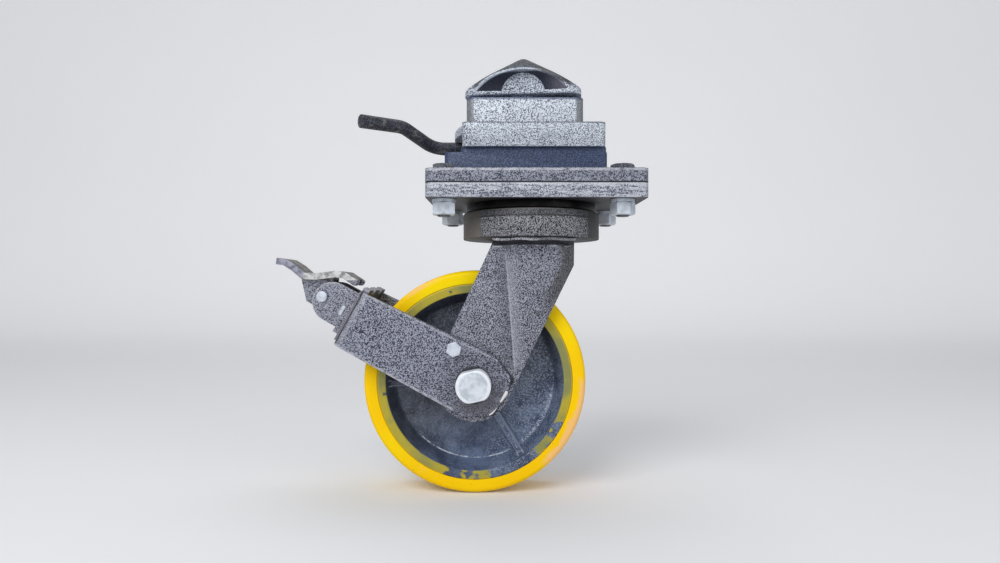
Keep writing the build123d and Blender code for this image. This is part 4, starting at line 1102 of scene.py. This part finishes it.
def make_axle():
    """Axle with a round head whose rim is rounded and cut by two flats: the reach is about the
    smaller of the head's radius and the flats' distance over the sine of the angle from them."""
    head_r, flat, head_h, tilt = 15.5 * MM, 13.5 * MM, 13 * MM, math.radians(12)
    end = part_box("axle")[1].y
    cut = flat / np.maximum(np.abs(np.sin(full_turn(144) - tilt)), MICRON)
    edge = (head_r**-24 + cut**-24) ** (-1 / 24)
    soft = 1.3 * MM
    top = ARM_OUT + head_h
    rows = [(0, ARM_OUT), (edge, ARM_OUT)]
    for bend in np.radians(np.linspace(0, 90, 7)):
        rows.append((edge - soft * (1 - math.cos(bend)), top - soft * (1 - math.sin(bend))))
    rows += [(edge * 0.5, top), (0, top)]
    head = about(AXLE, NEAR, RIGHT, rows, 144)
    chamfer = 1.4 * MM
    shank = [(0, -ARM_OUT), (AXLE_R, -ARM_OUT), (AXLE_R, end - chamfer)]
    shank += [(AXLE_R - chamfer, end), (0, end)]
    body = about(AXLE, FAR, RIGHT, shank, columns=56)
    piece("axle_pin", [head, body], "fork", "axle", "zinc", axle_zinc, 40)


# Welds


def make_welds():
    """A bead carried along the top of each leg: its radius grows with the square of the fraction of
    each laid drop, and its ends taper."""
    base, start, run, count = 4.6 * MM, 15.6, 75.6, 150
    beads = []
    for side in (-1, 1):
        t = np.linspace(0, 1, count)
        x = AXLE[0] + (start + run * t) * MM
        bulge = np.sin(np.clip((t - 0.127) / 0.873, 0, 1) * math.pi) * 8 * MM
        y = side * (LEG_OUT + bulge + 0.6 * MM + 0 * t)
        z = WELD_Z + 0.8 * MM * np.sin(t * 19 + 0.6) + 0.3 * MM * np.sin(t * 47)
        drop = (t * 17.3 + 0.3 * np.sin(t * 9)) % 1
        swell = base * (0.86 + 0.16 * drop**2 + 0.06 * np.sin(t * 31))
        swell = swell * np.sin(np.clip(np.minimum(t, 1 - t) / 0.06, 0, 1) * math.pi / 2)
        around = full_turn(16)
        ring_y = y[:, None] + side * swell[:, None] * np.cos(around)
        ring_z = z[:, None] + swell[:, None] * np.sin(around)
        ring_x = x[:, None] + 0 * ring_y
        points = np.stack([ring_x, ring_y, ring_z], axis=-1)
        beads.append((points, grid_faces(count, 16, wrap_columns=True)))
    piece("weld_beads", beads, "fork", "fork_welds", "hammer_paint", weld_paint)


make_lock_head()
make_tread()
make_core()
make_plate_bolts()
make_plate_nuts()
make_spring_washers()
make_frame_bolts()
make_axle_nut()
make_axle()
make_welds()

SOFT_NODES = [
    ("lock_block", "mount", "hammer_paint", housing, 0.8),
    ("lock_body", "mount", "hammer_paint", foot_paint, 0.6),
    ("lock_plate", "mount", "hammer_paint", lock_plate_paint, 0.8),
    ("caster_plate", "mount", "hammer_paint", caster_plate_paint, 1),
    ("lock_lever", "lock", "hammer_paint", lever_paint, 0.9),
    ("fork_leg_near", "fork", "hammer_paint", leg_paint, 0.5),
    ("fork_leg_far", "fork", "hammer_paint", leg_paint, 0.5),
    ("brake_frame", "fork", "hammer_paint", arm_paint, 0.6),
    ("brake_bracket", "fork", "hammer_paint", bracket_paint, 0.4),
    ("brake_pedal", "pedal", "hammer_paint", pedal_paint, 0.8),
    ("fork_crown", "fork", "hammer_paint", ring_paint, 0.7),
    ("upper_race", "mount", "steel", dark_steel_painted_shade, 0.35),
    ("brake_guide_bar", "fork", "zinc", zinc_plate, 0.4),
    ("brake_pivot", "fork", "zinc", zinc_plate, 0.7),
    ("brake_shoe", "shoe", "steel", shoe_paint, 0.6),
]
EDGE_PAINT = {"brake_bracket": rubbed_paint}
for node, body, slot, finish, width in SOFT_NODES:
    soften(node, body, slot, finish, EDGE_PAINT.get(node, finish), width * MM)

STEEL_NODES = """lock_shaft_nut lock_thrust_washer swivel_balls kingpin kingpin_washer kingpin_nut
bearing_outer_rings bearing_inner_rings bearing_balls axle_sleeve axle_spacers"""
PLAIN_NODES = dict.fromkeys(STEEL_NODES.split(), bare_steel)
PLAIN_NODES.update(axle_washer=zinc_plate, bearing_seals=rubber)
for node, finish in PLAIN_NODES.items():
    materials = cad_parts[node].data.materials
    materials.clear()
    materials.append(finish)


# Floor and light


def make_floor():
    """A pale floor that curves up into a backdrop behind the object."""
    front, back, bow_r, top, half = -4, 1.6, 1.2, 4.5, 6
    bow = np.radians(np.linspace(9, 90, 10))
    run = np.concatenate([[front, back], back + bow_r * np.sin(bow), [back + bow_r]])
    rise = np.concatenate([[0, 0], bow_r * (1 - np.cos(bow)), [top]])
    points = [(x, y, FLOOR_Z + z) for y, z in zip(run, rise) for x in (-half, half)]
    mesh = bpy.data.meshes.new("floor")
    mesh.from_pydata(points, [], grid_faces(len(run), 2).tolist())
    mesh.shade_smooth()
    obj = placed("floor", mesh)
    f = Finish("floor_paint")
    _, away, _ = f.parts(f.place)
    seen = Value(f, f.node("ShaderNodeLightPath").outputs["Is Camera Ray"])
    glow = f.mix(away.ramp(0.3, 2.6), (0.03, 0.03, 0.03, 1), (0.30, 0.30, 0.30, 1))
    base = f.mix(f.noise(3), (228, 229, 231), (232, 232, 234))
    f.set(Base_Color=base, Roughness=0.75, Emission_Color=f.mix(seen, (0, 0, 0, 1), glow))
    f.shader.inputs["Emission Strength"].default_value = 1
    mesh.materials.append(f.material)


def area_light(name, place, look_at, size, power):
    """A soft rectangular lamp, its power in watts."""
    lamp = bpy.data.lights.new(name, "AREA")
    lamp.shape = "RECTANGLE"
    lamp.size, lamp.size_y = size
    lamp.energy = power
    obj = placed(name, lamp)
    obj.location = place
    obj.rotation_euler = lamp_turn(np.array(look_at) - np.array(place))


def lamp_turn(way):
    """The turn that points a lamp's -Z along the given way."""
    flat = math.hypot(way[0], way[1])
    tilt = math.atan2(flat, -way[2])
    heading = math.atan2(way[1], way[0]) - math.pi / 2
    return tilt, 0, heading


make_floor()
area_light("key", (-0.9, -1.5, 1.2), (0, 0, -0.13), (1.3, 1.3), 28)
area_light("fill", (1.6, -1.2, 0.3), (0, 0, -0.15), (1.6, 1.6), 8)
area_light("top", (0.1, 0.5, 1.7), (0, 0, -0.1), (1.6, 1), 9)
world = bpy.data.worlds.new("studio")
bpy.context.scene.world = world
world.use_nodes = True
nodes, links = world.node_tree.nodes, world.node_tree.links
sky = nodes["Background"]
sky.inputs["Color"].default_value = (0.92, 0.95, 1, 1)
sky.inputs["Strength"].default_value = 0.4
# What the camera sees straight is as pale as the backdrop; the sky that lights the caster is not
seen_sky = nodes.new("ShaderNodeBackground")
seen_sky.inputs["Color"].default_value = colour(218, 220, 223)
either = nodes.new("ShaderNodeMixShader")
links.new(nodes.new("ShaderNodeLightPath").outputs["Is Camera Ray"], either.inputs[0])
links.new(sky.outputs[0], either.inputs[1])
links.new(seen_sky.outputs[0], either.inputs[2])
links.new(either.outputs[0], nodes["World Output"].inputs[0])
